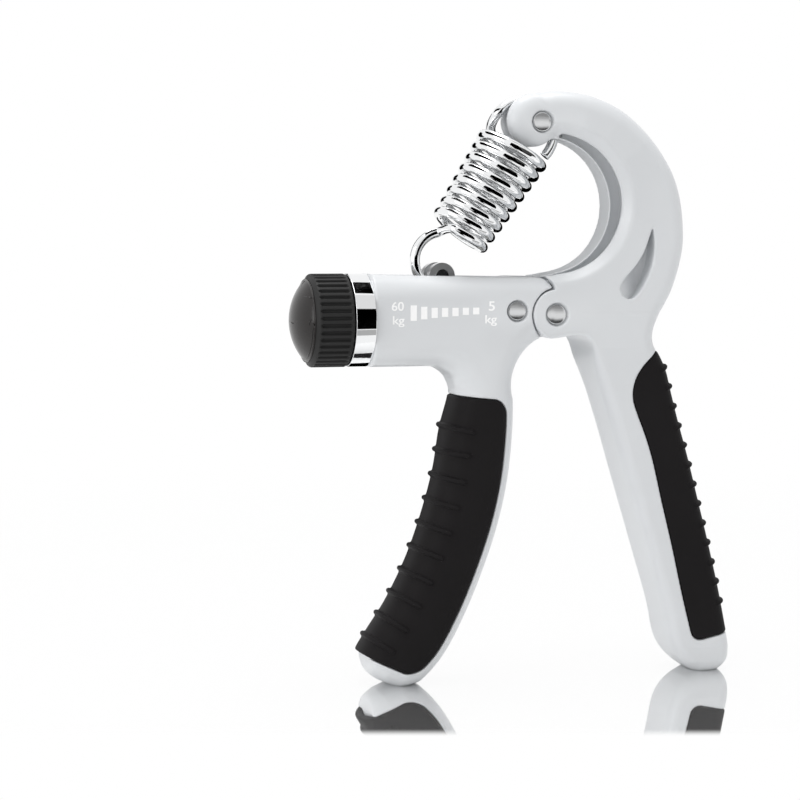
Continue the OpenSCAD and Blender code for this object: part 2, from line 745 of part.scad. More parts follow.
module thrust_washer() {
    color(nylon_colour) difference() {
        along(bush_face_x - thrust_t, bush_face_x, thrust_d);
        along(bush_face_x - 2 * thrust_t, bush_face_x + over, journal_d + 2 * run_fit);
    }
}

module carriage_nut() {
    color(chrome_colour) difference() {
        union() {
            along(anchor_x - carriage_len / 2, anchor_x + carriage_len / 2, bore_d - 2 * slide_gap);
            slab(groove_w + 2 * lug_t) {
                translate([anchor_x, anchor_z]) circle(lug_r);
                translate([anchor_x - lug_r, axis_z]) square([2 * lug_r, anchor_z - axis_z]);
            }
        }
        along(anchor_x - carriage_len, anchor_x + carriage_len, screw_d + 2 * run_fit);
        translate([anchor_x - carriage_len, -groove_w / 2, groove_floor])
            cube([2 * carriage_len, groove_w, 20]);
        across(anchor_x, anchor_z, anchor_pin_d + 2 * press_fit, bore_d);
    }
}

module anchor_pin() {
    color(steel_colour) across(anchor_x, anchor_z, anchor_pin_d, groove_w + 2 * lug_t + 0.6);
}

// ---------- Knob ----------

module knob_shell() {
    r = knob_d / 2;
    mouth_r = cap_d / 2 - cap_lip;
    inner_r = mouth_r - cap_ledge;
    flute_x = knob_x - knob_rim;
    color(knob_colour) difference() {
        turned([[knob_x, journal_d / 2 + press_fit], [knob_x, r - 0.4], [knob_x - 0.4, r],
            [knob_left_x, r], [cap_x, cap_d / 2], [cap_x, mouth_r], [cap_x + plug_len, mouth_r],
            [cap_x + plug_len, inner_r], [knob_x - knob_web, inner_r],
            [knob_x - knob_web, journal_d / 2 + press_fit]]);
        for (i = [0:flute_n - 1])
            translate([0, 0, axis_z])
                rotate([360 * i / flute_n, 0, 0])
                    translate([cap_x - over, 0, r - flute_depth + flute_w / 2])
                        rotate([0, 90, 0])
                            cylinder(d = flute_w, h = flute_x - cap_x + over, $fn = 16);
    }
}

module knob_washer() {
    x = knob_x - knob_web;
    color(steel_colour) difference() {
        along(x - knob_washer_t, x, washer_d);
        along(x - over, x + over, journal_d + 2 * press_fit);
    }
}

module knob_nut() {
    x = knob_x - knob_web - knob_washer_t;
    color(steel_colour) difference() {
        translate([x - nut_h, 0, axis_z])
            rotate([0, 90, 0]) cylinder(d = nut_across / cos(30), h = nut_h, $fn = 6);
        along(x - nut_h - over, x + over, journal_d + 2 * press_fit);
    }
}

module knob_cap() {
    r = cap_d / 2;
    ball_r = (r * r + cap_rise * cap_rise) / (2 * cap_rise);
    color(cap_colour) {
        intersection() {
            translate([cap_tip_x + ball_r, 0, axis_z]) sphere(ball_r, $fn = 96);
            along(cap_tip_x - over, cap_x, cap_d);
        }
        along(cap_x - cut, cap_x + plug_len - face_gap, cap_d - 2 * cap_lip - 2 * press_fit);
    }
}

place() handle_body();
place() handle_grip();
place() lever_body();
place() lever_grip();
place() pivot_pin();
place() pivot_bush();
place() pivot_washer_front();
place() pivot_washer_back();
place() spring_pin();
place() spring();
place() bearing_block();
place() bearing_pin();
place() front_bush();
place() barrel_ring();
place() lead_screw();
place() thrust_washer();
place() carriage_nut();
place() anchor_pin();
place() knob_shell();
place() knob_washer();
place() knob_nut();
place() knob_cap();
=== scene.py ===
"""Looks of an adjustable hand grip strengthener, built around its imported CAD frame."""

import json
import math

import bpy
import numpy as np
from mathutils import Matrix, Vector


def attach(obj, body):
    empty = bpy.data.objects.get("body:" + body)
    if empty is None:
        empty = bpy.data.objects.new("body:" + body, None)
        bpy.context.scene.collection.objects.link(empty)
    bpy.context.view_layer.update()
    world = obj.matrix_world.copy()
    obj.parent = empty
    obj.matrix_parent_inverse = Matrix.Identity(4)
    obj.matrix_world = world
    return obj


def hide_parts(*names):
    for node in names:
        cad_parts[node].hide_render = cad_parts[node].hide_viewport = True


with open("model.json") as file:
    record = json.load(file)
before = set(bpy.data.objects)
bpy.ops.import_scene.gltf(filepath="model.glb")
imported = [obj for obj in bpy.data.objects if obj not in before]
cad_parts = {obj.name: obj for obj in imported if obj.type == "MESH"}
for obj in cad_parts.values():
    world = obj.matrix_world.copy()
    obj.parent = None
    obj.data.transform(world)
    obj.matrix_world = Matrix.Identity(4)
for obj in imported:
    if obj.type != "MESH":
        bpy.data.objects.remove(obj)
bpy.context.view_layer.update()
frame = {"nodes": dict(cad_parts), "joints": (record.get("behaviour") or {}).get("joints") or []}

MM = 0.001
JOINTS = {j["name"]: j for j in frame["joints"]}
# Shapes are drawn in millimetres from the pivot axis; this is the pivot in the row frame
PIVOT = np.array(JOINTS["lever_pivot"]["pos_m"]) / MM

# ---------- Sizes, in millimetres from the pivot axis ----------

BODY_T = 21.0
BARREL_TOP = 10.35
BARREL_FALL = 0.021
BARREL_BOTTOM = -13.1
AXIS_Z = -1.25
RING_X = -48.5
RING_W = 5.25
BORE_D = 17.6
BARREL_EDGE = 6.5
BORE_END_X = -7.8
SLOT_W = 10.2
SLOT_LEFT_X = -47.0
SLOT_RIGHT_X = -11.0

KNUCKLE_R = 6.4
SEAM_GAP = 0.35
CORNER_X = -4.4
CORNER_R = 3.5
CORNER_Z = 6.3
LIP = (2.1, -17.8)
LIP_R = 12.55
TONGUE_T = 9.1
FORK_GAP = 10.2
SEAM_ROUND = 0.35

NOSE = (-2.6, 49.6)
NOSE_MIDDLE = (-4.4, 50.0)
NOSE_R = 6.8
NOSE_T = 12.4
OPENING = (0.9, 26.4)

PIN_RIM = 0.35
PIN_RIM_DEPTH = 0.9
PIN_INSET = 0.15
# Pins as (x, z, diameter, length, body)
PINS = {"pivot_pin": (0.0, 0.0, 5.4, BODY_T, "lever"),
        "bearing_pin": (-10.7, 1.0, 5.0, BODY_T, "frame"),
        "spring_pin": (*NOSE, 5.2, NOSE_T, "lever")}

KNOB_D = 23.9
CAP_D = 21.4
CAP_RISE = 4.25
CAP_BEVEL = 0.85
KNOB_GAP = 0.35
KNOB_X = RING_X - RING_W - KNOB_GAP
KNOB_LEN = 9.0
CAP_X = KNOB_X - KNOB_LEN - CAP_BEVEL
FLUTES = 40

ANCHOR = (-29.1, 10.0)
ANCHOR_D = 3.4
WIRE_D = 2.6
COIL_R_LOW = 7.15
COIL_R_TOP = 8.8
LOOP_R = 8.4
HOOK_R = 7.2
COIL_PITCH = 3.26
COIL_TURNS = 8
SPRING_SHIFT = 1.35

# The handles' tips stand on the floor; moulded shapes are meshed in cells of this size
FLOOR_Z = -95.6
CELL = 0.35


# ---------- Materials ----------

def new_material(name):
    material = bpy.data.materials.new(name)
    material.use_nodes = True
    nodes = material.node_tree.nodes
    return material, nodes, material.node_tree.links, nodes["Principled BSDF"]


def noise(nodes, links, scale, detail=4.0, stretch=(1, 1, 1)):
    """Noise in the object's own space, in features per metre."""
    where = nodes.new("ShaderNodeTexCoord")
    mapping = nodes.new("ShaderNodeMapping")
    mapping.inputs["Scale"].default_value = stretch
    texture = nodes.new("ShaderNodeTexNoise")
    texture.inputs["Scale"].default_value = scale
    texture.inputs["Detail"].default_value = detail
    links.new(where.outputs["Object"], mapping.inputs["Vector"])
    links.new(mapping.outputs["Vector"], texture.inputs["Vector"])
    return texture.outputs["Fac"]


def spread(nodes, links, value, low, high, start=0.0, end=1.0, shape="LINEAR"):
    """Value moved from start..end into low..high."""
    node = nodes.new("ShaderNodeMapRange")
    node.interpolation_type = shape
    node.inputs["From Min"].default_value, node.inputs["From Max"].default_value = start, end
    node.inputs["To Min"].default_value, node.inputs["To Max"].default_value = low, high
    links.new(value, node.inputs["Value"])
    return node.outputs["Result"]


def larger(nodes, links, a, b):
    """The larger of two values."""
    node = nodes.new("ShaderNodeMath")
    node.operation = "MAXIMUM"
    links.new(a, node.inputs[0])
    links.new(b, node.inputs[1])
    return node.outputs[0]


def tint(nodes, links, value, dark, light):
    """Colour between two others by a value."""
    node = nodes.new("ShaderNodeMix")
    node.data_type = "RGBA"
    node.inputs["A"].default_value = (*dark, 1)
    node.inputs["B"].default_value = (*light, 1)
    links.new(value, node.inputs["Factor"])
    return node.outputs["Result"]


def bumps(nodes, links, shader, height, distance, strength):
    bump = nodes.new("ShaderNodeBump")
    bump.inputs["Distance"].default_value = distance
    bump.inputs["Strength"].default_value = strength
    links.new(height, bump.inputs["Height"])
    links.new(bump.outputs["Normal"], shader.inputs["Normal"])


PATCHES = 60.0


def surface_material(name, dark, light, rough, metallic=0.0, grain=900.0, depth=0.00002, strength=0.2,
                     stretch=(1, 1, 1), specular=0.5):
    """Plastic, rubber or metal: patchy colour, patchy roughness and a fine grain."""
    material, nodes, links, shader = new_material(name)
    shader.inputs["Metallic"].default_value = metallic
    shader.inputs["Specular IOR Level"].default_value = specular
    patches = noise(nodes, links, PATCHES)
    links.new(tint(nodes, links, patches, dark, light), shader.inputs["Base Color"])
    links.new(spread(nodes, links, patches, *rough), shader.inputs["Roughness"])
    bumps(nodes, links, shader, noise(nodes, links, grain, 2.0, stretch), depth, strength)
    return material


shell = surface_material("shell_plastic", (0.655, 0.672, 0.69), (0.69, 0.705, 0.72), (0.30, 0.38),
                         grain=2600.0, depth=0.00001, strength=0.12)
rubber = surface_material("grip_rubber", (0.010, 0.0092, 0.0096), (0.015, 0.0138, 0.0144), (0.45, 0.58),
                          grain=5200.0, depth=0.00003, strength=0.3, specular=0.05)
chrome = surface_material("ring_chrome", (0.86, 0.87, 0.88), (0.9, 0.905, 0.91), (0.03, 0.06), metallic=1.0,
                          grain=600.0, depth=0.000004, strength=0.05)
spring_chrome = surface_material("spring_chrome", (0.84, 0.85, 0.86), (0.9, 0.905, 0.91), (0.03, 0.06),
                                 metallic=1.0, grain=500.0, depth=0.000003, strength=0.04)
pin_steel = surface_material("pin_steel", (0.6, 0.61, 0.62), (0.68, 0.685, 0.69), (0.14, 0.2), metallic=1.0,
                             grain=1800.0, depth=0.00001, strength=0.15, stretch=(1, 1, 6))
screw_steel = surface_material("screw_steel", (0.42, 0.43, 0.44), (0.55, 0.555, 0.56), (0.25, 0.4),
                               metallic=1.0)
carriage_metal = surface_material("carriage_metal", (0.8, 0.805, 0.81), (0.88, 0.885, 0.89), (0.3, 0.4),
                                  metallic=1.0)
bronze = surface_material("bush_bronze", (0.5, 0.34, 0.15), (0.6, 0.43, 0.21), (0.3, 0.45), metallic=1.0)
nylon = surface_material("nylon", (0.74, 0.73, 0.68), (0.8, 0.79, 0.75), (0.45, 0.55))
knob_plastic = surface_material("knob_plastic", (0.021, 0.021, 0.021), (0.029, 0.029, 0.029), (0.42, 0.55),
                                grain=4200.0, depth=0.00003, strength=0.25, specular=0.14)
cap_plastic = surface_material("cap_plastic", (0.011, 0.0095, 0.009), (0.016, 0.0135, 0.013), (0.16, 0.22),
                               grain=1500.0, depth=0.00001, strength=0.1, specular=0.38)
print_white = surface_material("print_white", (0.96, 0.96, 0.96), (0.99, 0.99, 0.99), (0.4, 0.5),
                               grain=6000.0, depth=0.00001, strength=0.2)


# ---------- Meshes ----------

def add_object(name, data):
    obj = bpy.data.objects.new(name, data)
    bpy.context.scene.collection.objects.link(obj)
    return obj


def make_mesh(name, points, faces):
    """Mesh from points in millimetres about the pivot."""
    mesh = bpy.data.meshes.new(name)
    place = (np.asarray(points, float) + PIVOT) * MM
    mesh.from_pydata(place.tolist(), [], [list(f) for f in faces])
    mesh.polygons.foreach_set("use_smooth", [True] * len(mesh.polygons))
    mesh.update()
    return mesh


def piece(name, mesh, material, body, slot, *stands_for):
    """Visible piece that rides on a body and stands in for the CAD nodes named last."""
    obj = add_object(name, mesh)
    mesh.materials.append(material)
    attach(obj, body)
    if stands_for:
        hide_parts(*stands_for)
    return obj


def soften(profile, radius, steps=5):
    """Closed profile with its corners rounded, by less where an edge is short."""
    points = [np.array(p, float) for p in profile]
    out = []
    for i, corner in enumerate(points):
        before, after = points[i - 1] - corner, points[(i + 1) % len(points)] - corner
        reach = min(radius, 0.45 * np.linalg.norm(before), 0.45 * np.linalg.norm(after))
        start = corner + before / np.linalg.norm(before) * reach
        end = corner + after / np.linalg.norm(after) * reach
        for k in range(steps + 1):
            t = k / steps
            out.append((1 - t) ** 2 * start + 2 * t * (1 - t) * corner + t * t * end)
    return out


def revolve(profile, centre, axis, steps, closed=True):
    """Solid of revolution. A profile point is (place along the axis, radius); the axis is X or Y."""
    points, rows = [], []
    for along, radius in profile:
        if radius < 1e-6:
            rows.append([len(points)] * steps)
            angles = [0.0]
        else:
            rows.append(list(range(len(points), len(points) + steps)))
            angles = [2 * math.pi * k / steps for k in range(steps)]
        for a in angles:
            u, v = radius * math.cos(a), radius * math.sin(a)
            if axis == "X":
                points.append((along, centre[0] + u, centre[1] + v))
            else:
                points.append((centre[0] + u, along, centre[1] + v))
    faces = []
    for i in range(len(rows) if closed else len(rows) - 1):
        a, b = rows[i], rows[(i + 1) % len(rows)]
        for k in range(steps):
            ring = [a[k], a[(k + 1) % steps], b[(k + 1) % steps], b[k]]
            ring = list(dict.fromkeys(ring))
            if len(ring) > 2:
                faces.append(ring)
    return points, faces


def facing_out(points, faces):
    """Faces turned so that the solid's volume is positive."""
    p = np.asarray(points, float)
    volume = sum(np.dot(p[f[0]], np.cross(p[f[i]], p[f[i + 1]]))
                 for f in faces for i in range(1, len(f) - 1))
    return faces if volume > 0 else [f[::-1] for f in faces]


def solid(name, shape, material, body, slot, *stands_for):
    points, faces = shape
    return piece(name, make_mesh(name, points, facing_out(points, faces)), material, body, slot, *stands_for)


# ---------- Moulded shapes: a field that is negative inside, meshed where it is zero ----------

class Block:
    """Grid of cells round a moulding. x, y and z broadcast to the whole grid."""

    def __init__(self, low, high, step):
        self.low, self.step = np.array(low, float), step
        counts = np.ceil((np.array(high) - self.low) / step).astype(int) + 1
        axes = [self.low[k] + step * np.arange(counts[k]) for k in range(3)]
        self.x, self.y, self.z = axes[0][:, None, None], axes[1][None, :, None], axes[2][None, None, :]
        self.flat_x, self.flat_z = np.meshgrid(axes[0], axes[2], indexing="ij")

    def flat(self, values):
        """A map over X and Z, the same through the thickness."""
        return values[:, None, :]


CORNERS = [np.array(c) for c in np.ndindex(2, 2, 2)]
CELL_EDGES = [(a, b) for a in CORNERS for b in CORNERS if (b - a).sum() == 1 and (b - a).min() == 0]


def net(field, low, step):
    """Points and quads of the field's zero level: a point in each cell, a quad round each crossed edge."""
    inside = field < 0
    shape = np.array(field.shape) - 1
    count = sum(inside[c[0]:c[0] + shape[0], c[1]:c[1] + shape[1], c[2]:c[2] + shape[2]].astype(np.int8)
                for c in CORNERS)
    cells = np.argwhere((count > 0) & (count < 8))
    number = np.full(tuple(shape), -1, np.int64)
    number[tuple(cells.T)] = np.arange(len(cells))
    total, hits = np.zeros((len(cells), 3)), np.zeros(len(cells))
    for a, b in CELL_EDGES:
        va, vb = field[tuple((cells + a).T)], field[tuple((cells + b).T)]
        crossed = (va < 0) != (vb < 0)
        t = va[crossed] / (va[crossed] - vb[crossed])
        total[crossed] += cells[crossed] + a + t[:, None] * (b - a)
        hits += crossed
    points = low + step * total / hits[:, None]
    quads = []
    for axis in range(3):
        u, v = [k for k in range(3) if k != axis]
        one = np.take(inside, range(field.shape[axis] - 1), axis)
        two = np.take(inside, range(1, field.shape[axis]), axis)
        edges = np.argwhere(one != two)
        first_in = one[tuple(edges.T)]
        du, dv = np.eye(3, dtype=int)[u], np.eye(3, dtype=int)[v]
        keep = np.all((edges > 0) & (edges < shape), axis=1)
        edges, first_in = edges[keep], first_in[keep]
        ring = np.stack([number[tuple((edges - k).T)] for k in (0 * du, du, du + dv, dv)], 1)
        turn = ~first_in if axis != 1 else first_in
        ring[turn] = ring[turn][:, ::-1]
        quads.append(ring)
    return points, np.concatenate(quads)


def gradient_at(field, places):
    """Direction in which the field grows, at places in cells."""
    base = np.clip(np.floor(places).astype(int), 1, np.array(field.shape) - 3)
    share = places - base
    out = np.zeros_like(places)
    for corner in CORNERS:
        weight = np.prod(np.where(corner, share, 1 - share), axis=1)
        at = base + corner
        for k in range(3):
            step = np.eye(3, dtype=int)[k]
            slope = field[tuple((at + step).T)] - field[tuple((at - step).T)]
            out[:, k] += weight * slope
    return out / np.maximum(np.linalg.norm(out, axis=1), 1e-9)[:, None]


def moulded(name, block, field, material, body, slot, *stands_for):
    points, quads = net(field, block.low, block.step)
    mesh = bpy.data.meshes.new(name)
    place = (points + PIVOT) * MM
    mesh.vertices.add(len(place))
    mesh.vertices.foreach_set("co", place.astype(np.float32).ravel())
    mesh.loops.add(quads.size)
    mesh.loops.foreach_set("vertex_index", quads.astype(np.int32).ravel())
    mesh.polygons.add(len(quads))
    mesh.polygons.foreach_set("loop_start", np.arange(0, quads.size, 4, dtype=np.int32))
    mesh.polygons.foreach_set("use_smooth", np.ones(len(quads), bool))
    mesh.update()
    mesh.validate()
    normals = gradient_at(field, (points - block.low) / block.step)
    mesh.normals_split_custom_set_from_vertices(normals.tolist())
    return piece(name, mesh, material, body, slot, *stands_for)


def smooth_line(points, steps=8):
    """Catmull-Rom curve through the points."""
    p = [np.array(q, float) for q in points]
    p = [2 * p[0] - p[1], *p, 2 * p[-1] - p[-2]]
    out = []
    for i in range(1, len(p) - 2):
        a, b, c, d = p[i - 1:i + 3]
        for k in range(steps):
            t = k / steps
            out.append(0.5 * (2 * b + (c - a) * t + (2 * a - 5 * b + 4 * c - d) * t * t
                              + (3 * b - a - 3 * c + d) * t ** 3))
    return [*out, p[-2]]


def arc(centre, radius, start, end, steps=24):
    """Points on a circle from one angle to another, in degrees from +X towards +Z."""
    return [np.array([centre[0] + radius * math.cos(a), centre[1] + radius * math.sin(a)])
            for a in np.radians(np.linspace(start, end, steps))]


def to_segment(x, z, a, b):
    """Squared distance to a segment, and which side of it a place is on."""
    d = b - a
    t = np.clip(((x - a[0]) * d[0] + (z - a[1]) * d[1]) / max(d @ d, 1e-12), 0, 1)
    off_x, off_z = x - a[0] - t * d[0], z - a[1] - t * d[1]
    return off_x ** 2 + off_z ** 2, (x - a[0]) * d[1] - (z - a[1]) * d[0]


def outline(path, x, z):
    """Signed distance to a closed path, negative inside."""
    best = np.full(x.shape, np.inf)
    inside = np.zeros(x.shape, bool)
    for a, b in zip(path, [*path[1:], path[0]]):
        best = np.minimum(best, to_segment(x, z, a, b)[0])
        if a[1] != b[1]:
            inside ^= ((a[1] > z) != (b[1] > z)) & (x < (b[0] - a[0]) * (z - a[1]) / (b[1] - a[1]) + a[0])
    return np.where(inside, -1, 1) * np.sqrt(best)


def beside(path, x, z):
    """Signed distance to an open path, positive on its right."""
    best = np.full(x.shape, np.inf)
    sign = np.ones(x.shape)
    for a, b in zip(path[:-1], path[1:]):
        d, side = to_segment(x, z, a, b)
        near = d < best - 1e-9
        best = np.where(near, d, best)
        sign = np.where(near, np.sign(side), sign)
    return sign * np.sqrt(best)


def round_max(a, b, r):
    """Both shapes, with the edge between them rounded."""
    return np.minimum(np.maximum(a, b) + r, 0) + np.hypot(np.maximum(a + r, 0), np.maximum(b + r, 0)) - r \
        if r else np.maximum(a, b)


def round_min(a, b, r):
    """Either shape, with a fillet of radius r between them."""
    return -round_max(-a, -b, r)


def rounded_slab(depth, y, half, edge, lip, power):
    """Slab in the middle plane with rounded edges; depth is the distance to its outline."""
    across = np.maximum(0, 1 + depth / edge)
    through = np.maximum(0, 1 + (np.abs(y) - half) / lip)
    return ((across ** power + through ** power) ** (1 / power) - 1) * np.minimum(edge, lip)


def ramp(value, start, end):
    t = np.clip((value - start) / (end - start), 0, 1)
    return t * t * (3 - 2 * t)


def disc(x, z, centre, radius):
    return np.hypot(x - centre[0], z - centre[1]) - radius


def pin_hole(field, block, name):
    """Bore for a pin, with a shallow wider rim at each face."""
    x, z, d, t, _ = PINS[name]
    radial = disc(block.x, block.z, (x, z), 0.0)
    rim = np.maximum(radial - d / 2 - PIN_RIM, t / 2 - PIN_RIM_DEPTH - np.abs(block.y))
    hole = np.minimum(radial - d / 2 - 0.01, rim)
    return round_max(field, -hole, 0.25)


def rods_along(block, skin, line, first, pitch, count, radius, reach, sunk):
    """Round bars across the edge of a grip, evenly spaced along its outer line."""
    lengths = np.cumsum([0.0, *[np.linalg.norm(b - a) for a, b in zip(line[:-1], line[1:])]])
    field = np.full(skin.shape, 9.0)
    for k in range(count):
        here, there = [np.array([np.interp(first + k * pitch + e, lengths, [p[i] for p in line])
                                 for i in (0, 1)]) for e in (0.0, 0.5)]
        way = (there - here) / np.linalg.norm(there - here)
        along = (block.x - here[0]) * way[0] + (block.z - here[1]) * way[1]
        inwards = np.abs((block.x - here[0]) * -way[1] + (block.z - here[1]) * way[0])
        near = np.where((np.abs(along[:, 0, :]) < 3).any(1))[0]
        part = slice(near[0], near[-1] + 1)
        rod = np.sqrt((skin[part] - sunk) ** 2 + along[part] ** 2
                      + np.maximum(0, inwards[part] - reach) ** 2) - radius
        field[part] = np.minimum(field[part], rod)
    return field


# ---------- Fixed handle ----------

OUTER_HANDLE = [(-25.5, -18.2), (-25.3, -20.9), (-27.8, -29.6), (-29.6, -40.4), (-32.6, -51.4),
                (-36.8, -63.0), (-42.2, -73.8), (-47.6, -82.0), (-50.6, -87.0), (-50.4, -89.6),
                (-48.2, -92.4), (-46.0, -94.2)]
INNER_HANDLE = [(-9.6, -23.4), (-9.8, -31.2), (-11.0, -42.6), (-13.6, -54.4), (-17.9, -67.0),
                (-23.2, -79.2), (-28.6, -88.6), (-34.2, -94.6), (-37.0, -95.8), (-39.2, -96.4),
                (-41.0, -96.4)]
# Half the handle's width through the thickness, as (depth below the pivot, half width)
HANDLE_HALF = [(20, 7.9), (30, 9.0), (42, 9.3), (54, 9.6), (66, 9.7), (80, 9.8), (90, 9.0)]
HANDLE_START = (10.0, 26.0)
NECK = [(-33.6, BARREL_BOTTOM), (-31.0, -13.3), (-28.6, -14.3), (-26.6, -16.0), (-25.5, -18.2)]
GRIP_TOP = [(-60.0, -17.6), (-25.3, -20.9), (-9.6, -22.4), (0.0, -23.3)]
GRIP_BOTTOM = [(-20.0, -101.2), (-34.2, -94.6), (-50.6, -87.0), (-60.0, -82.6)]
SPINE_W = 3.7
GRIP_CORNER = 3.8
RUBBER_T = 2.0
RUBBER_PROUD = 0.12
GRIP_GAP = 0.14
BARS = 10
BAR_FIRST = 8.3
BAR_PITCH = 6.5
BAR_R = 0.68
BAR_REACH = 4.9
PAD_EDGE = 0.45
PAD_SOLE = 0.15
RECESS_EDGE = 0.3
TONGUE_FIT = 0.4
TONGUE_REACH = 4.9
TONGUE_BORE_R = 4.0
# Outlines run on to here, past the ends of the barrel
PAST_KNOB_X = -70.0
PAST_SEAM_X = 15.0


def barrel_top(x):
    """Height of the barrel's top, which falls a little from the knob to the seam."""
    return BARREL_TOP - BARREL_FALL * (x + 35.0)


def handle_path():
    """Outline of barrel and handle, run on past the barrel's two ends."""
    under = [np.array(p) for p in [(PAST_SEAM_X, LIP[1] + LIP_R), (LIP[0], LIP[1] + LIP_R)]]
    lip = arc(LIP, LIP_R, 90, 199, 40)
    inner = smooth_line(INNER_HANDLE)
    outer = smooth_line(OUTER_HANDLE)[::-1]
    neck = smooth_line(NECK)[::-1]
    ends = [np.array(p) for p in [(PAST_KNOB_X, BARREL_BOTTOM), (PAST_KNOB_X, barrel_top(PAST_KNOB_X)),
                                  (PAST_SEAM_X, barrel_top(PAST_SEAM_X))]]
    return [*under, *lip[1:], *inner[1:], *outer, *neck[1:], *ends]


def seam_tool(x, z):
    """What the knuckle and its gap take from the barrel, and the barrel's rounded top corner."""
    corner = np.where((x > CORNER_X) & (z > CORNER_Z), disc(x, z, (CORNER_X, CORNER_Z), CORNER_R),
                      x - CORNER_X - CORNER_R)
    return corner, disc(x, z, (0, 0), KNUCKLE_R + SEAM_GAP)


def fixed_handle():
    block = Block((-54, -12.5, -98), (1.5, 12.5, 12.5), CELL)
    x, z = block.flat_x, block.flat_z
    depth = outline(handle_path(), x, z)
    low = ramp(-z, *HANDLE_START)
    half_width = np.interp(-z, *zip(*HANDLE_HALF))
    edge = BARREL_EDGE + (half_width - BARREL_EDGE) * low
    lip = BARREL_EDGE + (BODY_T / 2 - BARREL_EDGE) * low
    power = 2.0 + 0.45 * low
    base = rounded_slab(block.flat(depth), block.y, BODY_T / 2, block.flat(edge), block.flat(lip),
                        block.flat(power))
    base = np.maximum(base, FLOOR_Z - block.z)

    corner, knuckle = seam_tool(x, z)
    body = round_max(base, block.flat(corner), SEAM_ROUND)
    body = round_max(body, -block.flat(knuckle), SEAM_ROUND)
    body = round_max(body, RING_X - block.x, 0.3)

    # Recess for the rubber, deep enough to hide under it
    inner = beside(smooth_line(INNER_HANDLE[:-3]), x, z)
    top = -beside(smooth_line(GRIP_TOP), x, z)
    bottom = -beside(smooth_line(GRIP_BOTTOM), x, z)
    grip = round_max(round_max(top, SPINE_W - inner, GRIP_CORNER), bottom, GRIP_CORNER)
    grip = block.flat(grip)
    recess = np.maximum(grip - GRIP_GAP, -RUBBER_T - base)
    body = round_max(body, -recess, RECESS_EDGE)

    # Tongue, bore, slot and pin hole
    tongue = np.minimum(disc(block.x, block.z, (0, 0), KNUCKLE_R - TONGUE_FIT),
                        np.maximum(np.abs(block.z) - KNUCKLE_R + TONGUE_FIT,
                                   np.abs(block.x - BORE_END_X / 2) - TONGUE_REACH))
    tongue = np.maximum(tongue, np.abs(block.y) - TONGUE_T / 2)
    body = np.minimum(body, tongue)
    bore = np.maximum(np.hypot(block.y, block.z - AXIS_Z) - BORE_D / 2, block.x - BORE_END_X)
    slot = np.maximum(np.abs(block.y) - SLOT_W / 2, AXIS_Z - block.z)
    slot = round_max(slot, np.abs(block.x - (SLOT_LEFT_X + SLOT_RIGHT_X) / 2)
                     - (SLOT_RIGHT_X - SLOT_LEFT_X) / 2, 1.0)
    body = round_max(body, -np.minimum(bore, slot), 0.45)
    body = round_max(body, -np.hypot(block.x, block.z) + TONGUE_BORE_R, 0.1)
    body = pin_hole(body, block, "bearing_pin")
    moulded("handle_body_moulding", block, body, shell, "frame", "shell", "handle_body")

    # Rubber with its bars round the outer edge
    skin = base - RUBBER_PROUD
    line = smooth_line(OUTER_HANDLE[1:], 12)
    bars = rods_along(block, skin, line, BAR_FIRST, BAR_PITCH, BARS, BAR_R, BAR_REACH, 0.2)
    pad = round_max(skin, grip, PAD_EDGE)
    pad = round_min(pad, bars, 0.12)
    pad = np.maximum(pad, -(base + RUBBER_T - PAD_SOLE))
    moulded("handle_grip_rubber", block, pad, rubber, "frame", "rubber", "handle_grip")


fixed_handle()


# ---------- Lever ----------

ARM_OUTER = [(-4.4, 56.8), (2.2, 57.6), (10.9, 56.4), (19.5, 52.3), (26.8, 45.4), (32.2, 37.4), (34.9, 29.5),
             (35.8, 20.2), (35.0, 13.6), (32.5, 5.7), (28.9, -0.9), (27.4, -5.2), (27.7, -8.3)]
LEVER_OUTER = [(27.7, -8.3), (29.7, -11.6), (31.5, -15.2), (32.9, -20.0), (34.9, -27.5), (38.1, -38.5),
               (41.0, -49.5), (44.0, -61.0), (46.9, -73.0), (48.9, -82.6), (50.1, -88.8), (50.0, -92.8),
               (48.1, -95.6), (45.0, -96.9), (41.6, -96.4)]
LEVER_INNER = [(38.2, -93.9), (35.3, -90.8), (33.1, -86.2), (31.3, -77.8), (27.6, -65.5), (23.9, -53.3),
               (20.3, -41.5), (16.8, -29.8), (14.1, -21.5), (12.4, -16.4), (11.0, -11.8), (10.2, -8.4),
               (8.9, -6.3), (6.4, -5.4), (3.6, -5.6), (0.8, -6.05), (-1.7, -6.25)]
# The arm keeps these shares of its full thickness at these directions about the opening, in degrees
ARM_TURN = [20.0, 37.4, 55.5, 72.6, 87.6, 96.7]
ARM_SHARE = [1.0, 0.92, 0.72, 0.45, 0.16, 0.0]
# Half the lever's width through the thickness, as (z, half width)
LEVER_HALF = [(-96.0, 6.6), (-92.8, 8.4), (-88.8, 9.2), (-20.0, 9.2), (-15.2, 9.63), (-11.6, 10.17),
              (-8.9, 10.5)]
LEVER_START = (6.0, 20.0)
HOLES = [((-1.0, 28.0), 17.5), ((-3.5, 27.0), 17.2)]
GROOVE = (0.33, 28.66)
GROOVE_R = 18.14
GROOVE_END = ((1.0, 44.1), (3.0, 46.5))
GROOVE_FLOOR = 1.6
RIB_W = 0.5
RIB_HALF = 4.0
BEVEL = 2.4
UNDERCUT = 1.8
POCKET = (-4.25, 6.15)
POCKET_R = 3.85
POCKET_TOP = 14.0
TAIL_X = -2.9
TAIL_LOW_X = -1.7
SLIT_T = 3.4
SLIT_GAP = 0.5
TEARDROP = [(26.2, 22.6), (24.0, 16.4), (21.6, 12.6), (18.7, 9.3), (17.4, 7.0), (18.0, 4.8), (19.9, 3.9),
            (21.8, 4.7), (24.2, 8.0), (26.1, 12.8), (26.7, 17.8)]
TEARDROP_DEPTH = 5.2
